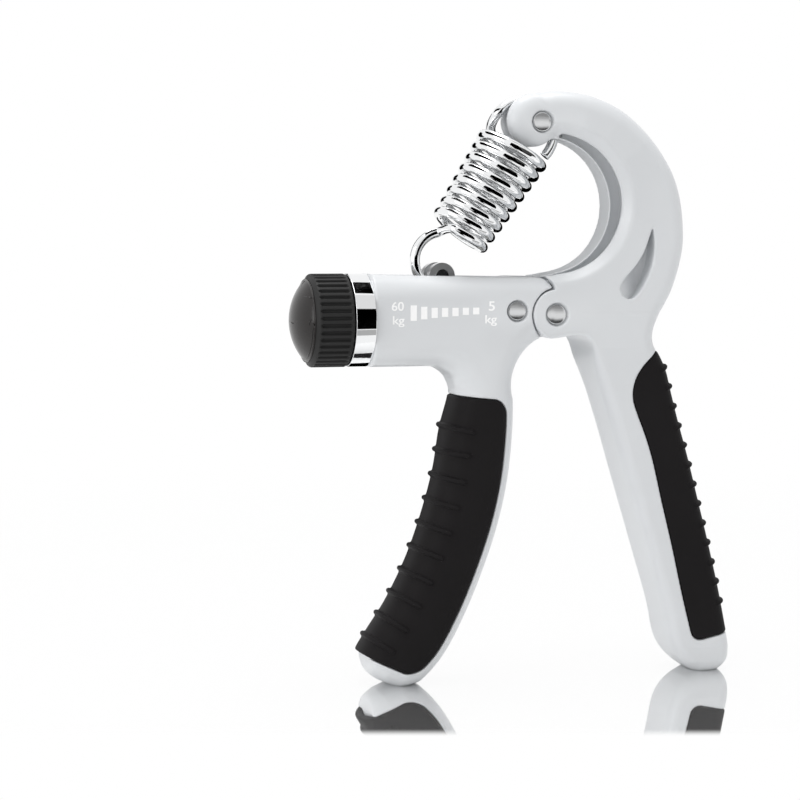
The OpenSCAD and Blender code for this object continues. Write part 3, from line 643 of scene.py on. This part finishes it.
PAD_LEFT = [(33.0, -7.4), (28.4, -9.8), (25.1, -12.7), (22.9, -15.8), (21.8, -18.9), (21.7, -22.5),
            (23.1, -26.8), (25.0, -31.6), (27.2, -38.4), (29.9, -49.6), (32.9, -61.6), (35.6, -73.4),
            (38.6, -85.2), (40.4, -91.0)]
PAD_BOTTOM = [(30.0, -88.9), (38.0, -87.3), (46.0, -85.6), (56.0, -83.6)]
RIDGES = 13
RIDGE_FIRST = 6.7
RIDGE_PITCH = 5.4
RIDGE_R = 0.65
RIDGE_REACH = 1.5
AXIS_U = np.array([NOSE[0] - ANCHOR[0], NOSE[1] - ANCHOR[1]])
SPAN = float(np.linalg.norm(AXIS_U))
AXIS_U = AXIS_U / SPAN
SPRING_SEAT = 0.1
LOOP_DROP = math.sqrt((LOOP_R - (WIRE_D + PINS["spring_pin"][2]) / 2 - SPRING_SEAT) ** 2 - SPRING_SHIFT ** 2)
HOOK_LIFT = math.sqrt((HOOK_R - (WIRE_D + ANCHOR_D) / 2 - SPRING_SEAT) ** 2 - SPRING_SHIFT ** 2)


def in_place(p):
    """Place of a spring point: the pin-to-pin line is AXIS_U from the anchor."""
    return (ANCHOR[0] + p[0] * AXIS_U[0] - p[1] * AXIS_U[1], p[2],
            ANCHOR[1] + p[0] * AXIS_U[1] + p[1] * AXIS_U[0])


def lever_path():
    """Outline of arm and lever handle, run on past the seam and closed inside the arm's opening."""
    outer = smooth_line([*ARM_OUTER, *LEVER_OUTER[1:]])
    inner = smooth_line(LEVER_INNER)
    inside = [np.array(p) for p in [(-15.0, -8.5), (-15.0, 14.0), (-3.0, 12.5), (-9.0, 16.5), (-13.0, 22.0),
                                    (-13.5, 32.0), (-9.0, 39.5), (-3.5, 43.8), (-4.4, 50.0)]]
    return [*outer, *inner, *inside]


def sprung_lever():
    block = Block((-12.9, -12.0, -97.5), (52.5, 12.0, 59.0), CELL)
    x, z = block.flat_x, block.flat_z
    depth = outline(lever_path(), x, z)
    from_inner = np.abs(beside(smooth_line(LEVER_INNER, 4), x, z))
    from_outer = np.abs(beside(smooth_line([*ARM_OUTER, *LEVER_OUTER[1:-1]], 4), x, z))
    side = from_inner / (from_inner + from_outer + 1e-6)
    low = ramp(-z, *LEVER_START)
    edge = (0.9 + 1.9 * low) * (1 - side) + 4.6 * side
    lip = (1.2 + 3.0 * low) * (1 - side) + 4.4 * side
    turn = np.degrees(np.arctan2(z - OPENING[1], x - OPENING[0]))
    turn = np.where((x < OPENING[0]) & (z < OPENING[1]), 0, turn)
    share = np.interp(turn, ARM_TURN, ARM_SHARE)
    half = np.interp(z, [p[0] for p in LEVER_HALF], [p[1] for p in LEVER_HALF])
    half = half - (BODY_T - NOSE_T) / 2 * (1 - share) * (z > 0)
    base = rounded_slab(block.flat(depth), block.y, block.flat(half), block.flat(edge), block.flat(lip), 2.2)
    base = np.maximum(base, FLOOR_Z - block.z)

    # Opening: a thin rib round its middle, a groove behind it and a bevel out to the faces
    hole = np.minimum(disc(x, z, *HOLES[0]), disc(x, z, *HOLES[1]))
    groove = disc(x, z, GROOVE, GROOVE_R)
    end, over = GROOVE_END
    length = math.hypot(over[0] - end[0], over[1] - end[1])
    past_end = ((x - end[0]) * (over[1] - end[1]) - (z - end[1]) * (over[0] - end[0])) / length
    side_cut = np.maximum(block.flat(np.maximum(groove, -past_end)), GROOVE_FLOOR - np.abs(block.y))
    under = np.maximum(block.flat(np.maximum(groove - UNDERCUT, -past_end)), GROOVE_FLOOR - np.abs(block.y))
    under = np.maximum(under, np.abs(block.y) - block.flat(half) + BEVEL + 0.9)
    side_cut = np.minimum(side_cut, under)
    bevel = (block.flat(groove) - np.abs(block.y) + block.flat(half) - BEVEL) / math.sqrt(2)
    body = round_max(base, -bevel, 0.5)
    body = round_max(body, -side_cut, 0.35)
    rib = round_max(block.flat(hole - RIB_W), np.abs(block.y) - RIB_HALF, 0.4)
    body = round_min(body, np.maximum(base, rib), 0.3)
    body = round_max(body, -block.flat(hole), 0.3)

    # Teardrop recess on both faces, deepest on the outer side
    drop = outline(smooth_line([*TEARDROP, TEARDROP[0]], 6)[:-1], x, z)
    floor = BODY_T / 2 - TEARDROP_DEPTH * ramp(x + 0.35 * z, 18.0, 28.0) - 0.5
    recess = np.maximum(block.flat(drop), block.flat(floor) - np.abs(block.y))
    body = round_max(body, -recess, 0.45)

    # Nose
    nose = rounded_slab(disc(block.x, block.z, NOSE_MIDDLE, NOSE_R), block.y, NOSE_T / 2, 4.8, 3.4, 2.0)
    body = round_min(body, nose, 0.6)
    body = pin_hole(body, block, "spring_pin")
    loop = in_place((SPAN - LOOP_DROP, SPRING_SHIFT, 0.0))[::2]
    slit = np.maximum(disc(block.x, block.z, loop, LOOP_R + WIRE_D / 2 + SLIT_GAP),
                      np.abs(block.y) - SLIT_T / 2)
    body = round_max(body, -slit, 0.2)

    # Seam with the barrel, and the fork round its tongue
    keep = np.maximum(np.maximum(TAIL_X - x, -z), -disc(x, z, POCKET, POCKET_R))
    keep = np.minimum(keep, np.maximum(TAIL_LOW_X - x, z))
    keep = np.minimum(keep, disc(x, z, (0, 0), KNUCKLE_R))
    keep = np.minimum(keep, POCKET_TOP - z)
    body = round_max(body, block.flat(keep), SEAM_ROUND)
    fork = np.minimum(disc(x, z, (0, 0), KNUCKLE_R + SEAM_GAP), np.maximum(x, np.abs(z) - KNUCKLE_R))
    fork = np.maximum(block.flat(fork), np.abs(block.y) - FORK_GAP / 2)
    body = np.maximum(body, -fork)
    body = pin_hole(body, block, "pivot_pin")

    # Rubber pad in the outer edge
    left = beside(smooth_line(PAD_LEFT), x, z)
    bottom = beside(smooth_line(PAD_BOTTOM), x, z)
    pad_edge = block.flat(round_max(left, bottom, 2.4))
    recess = np.maximum(pad_edge - GRIP_GAP, -RUBBER_T - base)
    body = round_max(body, -recess, RECESS_EDGE)
    moulded("lever_body_moulding", block, body, shell, "lever", "shell", "lever_body")

    skin = base - RUBBER_PROUD
    line = smooth_line(LEVER_OUTER[:-2], 12)
    ridges = rods_along(block, skin, line, RIDGE_FIRST, RIDGE_PITCH, RIDGES, RIDGE_R, RIDGE_REACH, 0.1)
    pad = round_max(skin, pad_edge, PAD_EDGE)
    pad = round_min(pad, ridges, 0.15)
    pad = np.maximum(pad, -(base + RUBBER_T - PAD_SOLE))
    moulded("lever_grip_rubber", block, pad, rubber, "lever", "rubber", "lever_grip")


sprung_lever()


# ---------- Pins, ring and knob ----------

def domed_pin(name):
    """Pin with a low dome on both ends."""
    x, z, d, t, body = PINS[name]
    half, r, dome = t / 2 - PIN_INSET, d / 2, d / 11
    ball = (r * r + dome * dome) / (2 * dome)
    rise = [(half - dome + math.sqrt(ball ** 2 - u * u) - (ball - dome), u)
            for u in np.linspace(r - 0.25, 0, 14)]
    edge = [(half - dome - 0.25, r), (half - dome - 0.07, r - 0.07)]
    side = [*edge, *rise]
    profile = [*[(-a, u) for a, u in side[::-1]], *side]
    shape = revolve(profile, (x, z), "Y", 96, closed=False)
    solid(name + "_domed", shape, pin_steel, body, "pin_steel", name)


for pin in PINS:
    domed_pin(pin)


RING_BORE_R = 9.6
RING_SOFT = 0.15


def barrel_ring():
    outer, inner = KNOB_D / 2 - 0.05, RING_BORE_R
    left = RING_X - RING_W
    profile = [(left, inner), (RING_X, inner), (RING_X, outer), (left, outer)]
    shape = revolve(soften(profile, RING_SOFT), (0.0, AXIS_Z), "X", 192)
    solid("chrome_ring", shape, chrome, "frame", "ring_chrome", "barrel_ring")


FLUTE_W = 1.05
FLUTE_DEPTH = 0.75
FLUTE_STEPS = 16
KNOB_RIM = 0.65
KNOB_WEB = 3.4
KNOB_BORE_R = 3.01
CAP_SEAT = 1.8
CAP_STEP = 0.65


def knob_band():
    """Fluted band: each flute is a round-bottomed groove with round ends."""
    r, mouth = KNOB_D / 2, CAP_D / 2 - 0.9
    flute_start, flute_end = KNOB_X - KNOB_LEN + 0.3, KNOB_X - KNOB_RIM
    stations = [(KNOB_X - 0.02, r - 1.2), (KNOB_X, r - 0.9), (KNOB_X, r - 0.45), (KNOB_X - 0.12, r - 0.14),
                (KNOB_X - 0.42, r)]
    stations += [(a, r) for a in np.linspace(KNOB_X - 0.7, KNOB_X - KNOB_LEN + 0.4, 44)]
    stations += [(KNOB_X - KNOB_LEN + 0.1, r - 0.05), (KNOB_X - KNOB_LEN - 0.1, r - 0.18),
                 (CAP_X + 0.25, CAP_D / 2 + 0.15), (CAP_X + 0.06, CAP_D / 2 + 0.02),
                 (CAP_X, CAP_D / 2 - 0.15), (CAP_X + 0.02, mouth + 0.1), (CAP_X + 0.15, mouth)]
    stations += [(CAP_X + CAP_SEAT, mouth), (CAP_X + CAP_SEAT, mouth - CAP_STEP),
                 (KNOB_X - KNOB_WEB, mouth - CAP_STEP), (KNOB_X - KNOB_WEB, KNOB_BORE_R),
                 (KNOB_X - 0.02, KNOB_BORE_R)]
    count = FLUTES * FLUTE_STEPS
    points, faces = [], []
    for along, radius in stations:
        for k in range(count):
            a = 2 * math.pi * k / count
            across = abs((k % FLUTE_STEPS) / FLUTE_STEPS - 0.5) * 2 * math.pi * r / FLUTES
            past = max(0.0, along - (flute_end - FLUTE_W / 2), flute_start + FLUTE_W / 2 - along)
            away = math.hypot(across, past) / (FLUTE_W / 2)
            cut = FLUTE_DEPTH * math.sqrt(max(0.0, 1 - away ** 2)) if radius > mouth + 0.2 else 0.0
            points.append((along, (radius - cut) * math.cos(a), AXIS_Z + (radius - cut) * math.sin(a)))
    for i in range(len(stations)):
        j = (i + 1) % len(stations)
        for k in range(count):
            m = (k + 1) % count
            faces.append((i * count + k, i * count + m, j * count + m, j * count + k))
    solid("knob_band", (points, faces), knob_plastic, "knob", "knob_plastic", "knob_shell")


def cap_point(u, angle):
    """Place on the dome at a radius and an angle from +Z towards -Y."""
    r = CAP_D / 2
    ball = (r * r + CAP_RISE ** 2) / (2 * CAP_RISE)
    tip = CAP_X - CAP_RISE
    x = tip + ball - math.sqrt(ball ** 2 - u * u)
    a = math.radians(angle)
    return np.array([x, -u * math.sin(a), AXIS_Z + u * math.cos(a)])


def knob_cap():
    """Dome with a soft rim and a short skirt that sits in the knob's mouth."""
    r = CAP_D / 2
    dome = [(float(cap_point(u, 0)[0]), u) for u in [0, *np.linspace(0.6, r - 0.9, 26)]]
    rim = [(float(cap_point(r - 0.6, 0)[0]) + 0.02, r - 0.6),
           (float(cap_point(r - 0.25, 0)[0]) + 0.06, r - 0.25), (CAP_X - 0.32, r - 0.05),
           (CAP_X - 0.02, r - 0.05), (CAP_X, r - 0.95), (CAP_X + 1.7, r - 0.95),
           (CAP_X + 1.7, 0)]
    solid("knob_cap_dome", revolve([*dome, *rim], (0.0, AXIS_Z), "X", 160, closed=False), cap_plastic,
          "knob", "cap_plastic", "knob_cap")


CAP_MARK_R = 0.16
# Marks on the dome as (radius, angle) from the cap's middle: a dash, an arrow head and the arrow's arc
CAP_MARKS = [[(8.2, 38), (10.0, 53)], [(8.9, 94), (9.4, 86), (10.3, 95)], [(0.9, 262), (2.5, 102)],
             [(9.9, a) for a in range(98, 192, 4)]]


def cap_marks():
    for k, mark in enumerate(CAP_MARKS):
        path = [cap_point(u, a) for u, a in mark]
        solid("cap_mark_%d" % k, tube(path, CAP_MARK_R, 10), cap_plastic, "knob", "cap_plastic")


def tube(path, radius, sides):
    """Round bar along a path, with flat ends."""
    p = np.asarray(path, float)
    n = len(p)
    ways = np.array([p[min(i + 1, n - 1)] - p[max(i - 1, 0)] for i in range(n)])
    ways /= np.linalg.norm(ways, axis=1)[:, None]
    up = np.cross(ways[0], (0.3, 0.9, 0.2))
    up /= np.linalg.norm(up)
    points, faces = [], []
    for i in range(n):
        up = up - (up @ ways[i]) * ways[i]
        up /= np.linalg.norm(up)
        other = np.cross(ways[i], up)
        for j in range(sides):
            a = 2 * math.pi * j / sides
            points.append(p[i] + radius * (math.cos(a) * up + math.sin(a) * other))
    for i in range(n - 1):
        k = i + 1
        for j in range(sides):
            m = (j + 1) % sides
            faces.append((i * sides + j, i * sides + m, k * sides + m, k * sides + j))
    faces += [tuple(range(sides))[::-1], tuple((n - 1) * sides + j for j in range(sides))]
    return points, faces


barrel_ring()
knob_band()
knob_cap()
cap_marks()


# ---------- Printed scale ----------

PRINT_RISE = 0.04
WORD_WEIGHT = 0.012
# Words as (text, (left, right), (lowest, highest))
PRINT_WORDS = [("60", (-44.3, -41.1), (1.4, 3.7)), ("kg", (-44.0, -40.95), (-2.7, 0.1)),
               ("5", (-18.6, -16.95), (1.2, 3.6)), ("kg", (-19.5, -16.4), (-2.7, 0.1))]
MARKS = 7
MARK_FIRST = -38.5
MARK_PITCH = 2.76
MARK_W = 1.65
MARK_TOPS = [2.75, 2.4, 2.1, 2.05, 2.05, 2.05, 2.05]
MARK_LOWS = [-1.15, -0.8, -0.5, -0.25, -0.1, 0.2, 0.3]


def printed(name, points, faces):
    """Flat print on the barrel's front: points are (x, z, 0 or 1), where 1 is the outer skin."""
    front = -BODY_T / 2
    places = [(x, front + PRINT_RISE * (1 - 2 * outer), z) for x, z, outer in points]
    obj = solid(name, (places, faces), print_white, "frame", "shell")
    obj.data.polygons.foreach_set("use_smooth", [False] * len(obj.data.polygons))


def scale_print():
    for k, (word, (left, right), (low, high)) in enumerate(PRINT_WORDS):
        curve = bpy.data.curves.new("word", "FONT")
        curve.body = word
        curve.extrude = 0.1
        curve.offset = WORD_WEIGHT
        holder = add_object("word", curve)
        bpy.context.view_layer.update()
        mesh = bpy.data.meshes.new_from_object(holder)
        bpy.data.objects.remove(holder)
        p = np.array([v.co for v in mesh.vertices])
        faces = [tuple(f.vertices) for f in mesh.polygons]
        bpy.data.meshes.remove(mesh)
        share = (p - p.min(0)) / (p.max(0) - p.min(0))
        points = [(left + u * (right - left), low + v * (high - low), w) for u, v, w in share]
        printed("scale_word_%d" % k, points, faces)
    points, faces = [], []
    for k in range(MARKS):
        middle = MARK_FIRST + k * MARK_PITCH
        first = len(points)
        points += [(middle + u * MARK_W / 2, z, outer) for outer in (0, 1)
                   for u, z in ((-1, MARK_LOWS[k]), (1, MARK_LOWS[k]), (1, MARK_TOPS[k]), (-1, MARK_TOPS[k]))]
        faces += [(first + a, first + (a + 1) % 4, first + 4 + (a + 1) % 4, first + 4 + a) for a in range(4)]
        faces += [(first + 3, first + 2, first + 1, first), (first + 4, first + 5, first + 6, first + 7)]
    printed("scale_marks", points, faces)


scale_print()


# ---------- Spring ----------

def hook_point(c, r, a):
    """Place on a hook or loop, from its middle, its radius and the angle from square to the spring."""
    return np.array([c + r * math.sin(a), r * math.cos(a), 0.0])


def spring_line():
    """Centre line of the wire, as (along the pin-to-pin line, square to it, through the thickness)."""
    hook_from, hook_to, coil_from = math.radians(-150), math.radians(44), math.radians(70)
    coil_to = 2 * math.pi * (COIL_TURNS + 1) - math.radians(60)
    loop_from, loop_to = math.radians(15), math.radians(192)
    loop_s = SPAN - LOOP_DROP
    coil_s = loop_s - 3.2 - (COIL_TURNS + 1) * COIL_PITCH

    def coil(a):
        r = COIL_R_LOW + (COIL_R_TOP - COIL_R_LOW) * a / coil_to
        return np.array([coil_s + a / (2 * math.pi) * COIL_PITCH, r * math.cos(a), -r * math.sin(a)])

    def coil_way(a):
        d = np.array([COIL_PITCH / (2 * math.pi * COIL_R_LOW), -math.sin(a), -math.cos(a)])
        return d / np.linalg.norm(d)

    def turn_way(a):
        return np.array([math.cos(a), -math.sin(a), 0.0])

    def bend(p, a, q, b, n=26):
        k = np.linalg.norm(q - p)
        return [(1 + 2 * t) * (1 - t) ** 2 * p + t * (1 - t) ** 2 * k * a + t * t * (3 - 2 * t) * q
                - t * t * (1 - t) * k * b for t in np.arange(1, n) / n]

    line = [hook_point(HOOK_LIFT, HOOK_R, a) for a in np.linspace(hook_from, hook_to, 44)]
    line += bend(line[-1], turn_way(hook_to), coil(coil_from), coil_way(coil_from))
    line += [coil(a) for a in np.linspace(coil_from, coil_to, 56 * COIL_TURNS)]
    end = hook_point(loop_s, LOOP_R, loop_from)
    line += bend(line[-1], coil_way(coil_to), end, turn_way(loop_from))
    line += [hook_point(loop_s, LOOP_R, a) for a in np.linspace(loop_from, loop_to, 44)]
    return line


def follow_anchor(obj, give):
    """Each point moves with the anchor pin by its own share, so the spring stretches between its pins."""
    obj.data.attributes.new("give", "FLOAT", "POINT").data.foreach_set("value", give)
    pin = add_object("anchor_place", None)
    pin.location = [(ANCHOR[0] + PIVOT[0]) * MM, 0.0, (ANCHOR[1] + PIVOT[2]) * MM]
    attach(pin, "carriage")
    group = bpy.data.node_groups.new("follow_anchor", "GeometryNodeTree")
    group.interface.new_socket("Geometry", in_out="INPUT", socket_type="NodeSocketGeometry")
    group.interface.new_socket("Geometry", in_out="OUTPUT", socket_type="NodeSocketGeometry")
    nodes, links = group.nodes, group.links
    taken, given = nodes.new("NodeGroupInput"), nodes.new("NodeGroupOutput")
    info = nodes.new("GeometryNodeObjectInfo")
    info.transform_space = "RELATIVE"
    info.inputs["Object"].default_value = pin
    moved = nodes.new("ShaderNodeVectorMath")
    moved.operation = "SUBTRACT"
    bpy.context.view_layer.update()
    moved.inputs[1].default_value = obj.matrix_world.inverted() @ pin.matrix_world.translation
    share = nodes.new("GeometryNodeInputNamedAttribute")
    share.data_type = "FLOAT"
    share.inputs["Name"].default_value = "give"
    scaled = nodes.new("ShaderNodeVectorMath")
    scaled.operation = "SCALE"
    shift = nodes.new("GeometryNodeSetPosition")
    links.new(info.outputs["Location"], moved.inputs[0])
    links.new(moved.outputs["Vector"], scaled.inputs[0])
    links.new(share.outputs["Attribute"], scaled.inputs["Scale"])
    links.new(taken.outputs[0], shift.inputs["Geometry"])
    links.new(scaled.outputs["Vector"], shift.inputs["Offset"])
    links.new(shift.outputs["Geometry"], given.inputs[0])
    obj.modifiers.new("follow_anchor", "NODES").node_group = group


def wire_spring():
    line = [p + np.array([0.0, SPRING_SHIFT, 0.0]) for p in spring_line()]
    sides = 20
    points, faces = tube([in_place(p) for p in line], WIRE_D / 2, sides)
    obj = solid("spring_wire", (points, faces), spring_chrome, "spring", "spring_chrome", "spring")
    low, high = HOOK_R + HOOK_LIFT, SPAN - LOOP_DROP - LOOP_R
    give = np.repeat([1 - min(1.0, max(0.0, (p[0] - low) / (high - low))) for p in line], sides)
    follow_anchor(obj, give)


wire_spring()


# ---------- Inner pieces, the carriage and its pin keep their CAD solids ----------

CAD_LOOKS = {"pivot_bush": bronze, "pivot_washer_front": nylon, "pivot_washer_back": nylon,
             "thrust_washer": nylon, "front_bush": nylon, "bearing_block": nylon,
             "lead_screw": screw_steel, "knob_washer": screw_steel, "knob_nut": screw_steel,
             "carriage_nut": carriage_metal, "anchor_pin": pin_steel}

for node, look in CAD_LOOKS.items():
    mesh = frame["nodes"][node].data
    mesh.materials.clear()
    mesh.materials.append(look)


# ---------- Camera, light and floor ----------

# The camera, in the row frame: place in millimetres, angles in degrees, focal length in pixels
CAMERA_AT = (-201.8, -616.6, 121.2)
CAMERA_AZIMUTH = 15.56
CAMERA_PITCH = 4.254
FOCAL_PX = 2487.0
FRAME_PX = 800.0
SENSOR = 36.0


def make_camera():
    data = bpy.data.cameras.new("camera")
    data.sensor_width = SENSOR
    data.lens = SENSOR * FOCAL_PX / FRAME_PX
    data.clip_start, data.clip_end = 0.05, 20.0
    obj = add_object("camera", data)
    obj.location = [c * MM for c in CAMERA_AT]
    obj.rotation_euler = (math.radians(90 - CAMERA_PITCH), 0, math.radians(-CAMERA_AZIMUTH))
    bpy.context.scene.camera = obj


# Lights as (place, size, watts), in metres from the row frame's origin
LIGHTS = {"top": ((-0.1, 0.05, 1.2), (0.9, 0.7), 8.4), "left": ((-1.0, -0.35, 0.35), (0.6, 0.6), 2.6)}
LIT_PLACE = (0, 0, 0.08)
WORLD_LIGHT = 0.70


def area_light(name, place, size, watts):
    """White rectangle of light turned to the middle of the part."""
    data = bpy.data.lights.new(name, "AREA")
    data.shape = "RECTANGLE"
    data.size, data.size_y = size
    data.energy = watts
    obj = add_object(name, data)
    obj.location = place
    obj.rotation_mode = "QUATERNION"
    obj.rotation_quaternion = (Vector(LIT_PLACE) - Vector(place)).to_track_quat("-Z", "Y")


def make_world():
    """White where the camera, a mirror or a clear piece shows it, and dimmer as light on the part."""
    world = bpy.data.worlds.new("studio")
    bpy.context.scene.world = world
    world.use_nodes = True
    nodes, links = world.node_tree.nodes, world.node_tree.links
    back = nodes["Background"]
    back.inputs["Color"].default_value = (1, 1, 1, 1)
    path = nodes.new("ShaderNodeLightPath")
    seen = larger(nodes, links, path.outputs["Is Camera Ray"], path.outputs["Is Glossy Ray"])
    seen = larger(nodes, links, seen, path.outputs["Is Transmission Ray"])
    links.new(spread(nodes, links, seen, WORLD_LIGHT, 1.0), back.inputs["Strength"])


FLOOR_REACH = 6.0
# Where the glossy sheet fades into white, in metres: before the part, and all round it
SHEET_END = (-0.076, -0.067)
SHEET_FAR = (0.25, 0.6)
MIRROR_SHARE = 0.94
# The sheet mirrors at a low slant only, as gloss does: 1 less the sine of the view's slant, from and to
MIRROR_SLANT = (0.45, 0.75)


def make_floor():
    """Pale glossy sheet under the part. Its front edge is square to the view and the rest is white."""
    mesh = bpy.data.meshes.new("floor")
    corners = [(u * FLOOR_REACH, v * FLOOR_REACH, 0) for u, v in ((-1, -1), (1, -1), (1, 1), (-1, 1))]
    mesh.from_pydata(corners, [], [(0, 1, 2, 3)])
    material, nodes, links, shader = new_material("floor")
    shader.inputs["Base Color"].default_value = (0.9, 0.9, 0.9, 1)
    shader.inputs["Roughness"].default_value = 0.5
    gloss = nodes.new("ShaderNodeBsdfGlossy")
    gloss.inputs["Roughness"].default_value = 0.03
    gloss.inputs["Color"].default_value = (0.99, 0.99, 0.99, 1)
    sheet = nodes.new("ShaderNodeMixShader")
    facing = nodes.new("ShaderNodeLayerWeight")
    share = spread(nodes, links, facing.outputs["Facing"], 0.0, MIRROR_SHARE, *MIRROR_SLANT)
    links.new(share, sheet.inputs["Fac"])
    links.new(shader.outputs["BSDF"], sheet.inputs[1])
    links.new(gloss.outputs["BSDF"], sheet.inputs[2])
    white = nodes.new("ShaderNodeEmission")
    where = nodes.new("ShaderNodeTexCoord")
    turned_by = nodes.new("ShaderNodeMapping")
    turned_by.inputs["Rotation"].default_value = (0, 0, math.radians(CAMERA_AZIMUTH))
    links.new(where.outputs["Object"], turned_by.inputs["Vector"])
    axes = nodes.new("ShaderNodeSeparateXYZ")
    links.new(turned_by.outputs["Vector"], axes.inputs[0])
    front = spread(nodes, links, axes.outputs["Y"], 1.0, 0.0, *SHEET_END, "SMOOTHSTEP")
    length = nodes.new("ShaderNodeVectorMath")
    length.operation = "LENGTH"
    links.new(where.outputs["Object"], length.inputs[0])
    far = spread(nodes, links, length.outputs["Value"], 0.0, 1.0, *SHEET_FAR, "SMOOTHSTEP")
    mix = nodes.new("ShaderNodeMixShader")
    links.new(larger(nodes, links, front, far), mix.inputs["Fac"])
    links.new(sheet.outputs["Shader"], mix.inputs[1])
    links.new(white.outputs["Emission"], mix.inputs[2])
    links.new(mix.outputs["Shader"], nodes["Material Output"].inputs["Surface"])
    mesh.materials.append(material)
    add_object("floor", mesh)


def card(name, corners, painted_reflection_level):
    """Flat card that only mirrors see, from its corners in millimetres about the pivot; its glow is a painted
    reflection and lights nothing.
    """
    mesh = bpy.data.meshes.new(name)
    mesh.from_pydata([(np.asarray(p, float) + PIVOT) * MM for p in corners], [], [(0, 1, 2, 3)])
    material, nodes, links, _ = new_material(name)
    glow = nodes.new("ShaderNodeEmission")
    glow.inputs["Color"].default_value = (painted_reflection_level, painted_reflection_level, painted_reflection_level, 1)
    links.new(glow.outputs["Emission"], nodes["Material Output"].inputs["Surface"])
    mesh.materials.append(material)
    obj = add_object(name, mesh)
    # Camera, diffuse and shadow rays pass through the card, so it shows only as a painted reflection in gloss
    # and chrome.
    obj.visible_camera = obj.visible_diffuse = obj.visible_shadow = obj.visible_transmission = False


RING_REACH = 42.0
RING_CARD_W = 9.0
VIEW_RISE = 2.4
VIEW_SLANT = 0.27
# Painted reflection bands on the ring, as (from, to, brightness), by the direction about the barrel's axis
# that the ring mirrors: 0 is the front and 90 is straight up
RING_PAINTED_BANDS = [(30, 48, 0.8), (48, 66.5, 0.8), (-20, 3, 0.0), (3, 28, 0.0), (-36, -22, 0.45)]
PIN_REACH = 8.0
PIN_CARD_W = 9.0
# Black cards that only mirrors see, by their corners; the spring's stands before it, in the spring's own
# directions. They paint dark reflections on the chrome and cast no shade
SPRING_BLACK_CARD = [(14, -44, -49), (92, -44, -49), (50, 26, -49), (-28, 26, -49)]
BLACK_REFLECTION_CARDS = {"back_flag": [(-8, 40, -20), (60, 40, -20), (60, 40, 60), (-8, 40, 60)],
         "back_flag_left": [(-72, 60, 18), (-38, 60, 18), (-38, 60, 74), (-72, 60, 74)],
         "spring_flag": [in_place(p) for p in SPRING_BLACK_CARD],
         "ring_flag_top": [(-50, -28, 62), (-24, -28, 62), (-24, 13, 62), (-50, 13, 62)],
         "ring_flag_low": [(-48, 45, -68), (-14, 45, -68), (-14, 80, -12), (-48, 80, -12)]}
# (lowest, highest, brightness) of the glowing cards before a pin, in millimetres from its middle: a painted
# reflection, grey at the top, white across the middle and nearly black at the bottom
PIN_PAINTED_BANDS = [(5.0, 10.5, 0.35), (2.8, 5.0, 0.55), (1.2, 2.8, 0.8), (-3.6, 1.2, 1.0), (-5.0, -3.6, 0.5),
             (-10.5, -5.0, 0.06)]


def about_ring(mirrored, radius):
    """Place on a circle about the barrel's axis that the ring mirrors, and its distance from the ring."""
    bounce = math.radians((mirrored - VIEW_RISE) / 2)
    a = math.radians(mirrored) - math.asin(KNOB_D / 2 / radius * math.sin(bounce))
    between = math.cos(a - math.radians(mirrored) + bounce)
    way = math.sqrt(radius ** 2 + (KNOB_D / 2) ** 2 - radius * KNOB_D * between)
    return np.array([-radius * math.cos(a), AXIS_Z + radius * math.sin(a)]), way


def make_cards():
    """Black, grey and white glowing cards that only mirrors see: they paint the reflected bands on the ring,
    the pins and the spring.
    """
    # Ring cards: grey and black bands put where the ring mirrors from this view, painting its reflected
    # bands.
    for k, (low, high, painted_reflection_level) in enumerate(RING_PAINTED_BANDS):
        corners = []
        for mirrored in (low, high):
            (y, z), way = about_ring(mirrored, RING_REACH)
            middle = RING_X - RING_W / 2 + way * VIEW_SLANT
            corners.append([(middle + side * RING_CARD_W, y, z) for side in (-1, 1)])
        card("ring_card_%d" % k, [*corners[0], *corners[1][::-1]], painted_reflection_level)
    # Pin cards: glowing bands before each pin, shifted by the view's slant and rise, paint the pins'
    # reflection.
    for name, (x, z, _, t, _) in PINS.items():
        y = -t / 2 - PIN_REACH
        shift = PIN_REACH * VIEW_SLANT
        rise = -PIN_REACH * math.tan(math.radians(VIEW_RISE))
        for k, (low, high, painted_reflection_level) in enumerate(PIN_PAINTED_BANDS):
            left, right = x + shift - PIN_CARD_W, x + shift + PIN_CARD_W
            card("%s_card_%d" % (name, k), [(left, y, z + rise + low), (right, y, z + rise + low),
                                            (right, y, z + rise + high), (left, y, z + rise + high)], painted_reflection_level)
    # Black cards: painted dark reflections in the ring and the spring.
    for name, corners in BLACK_REFLECTION_CARDS.items():
        card(name, corners, 0.0)


make_camera()
make_world()
make_floor()
for light, (place, size, watts) in LIGHTS.items():
    area_light(light, place, size, watts)
make_cards()

bpy.context.scene.view_settings.view_transform = "Standard"
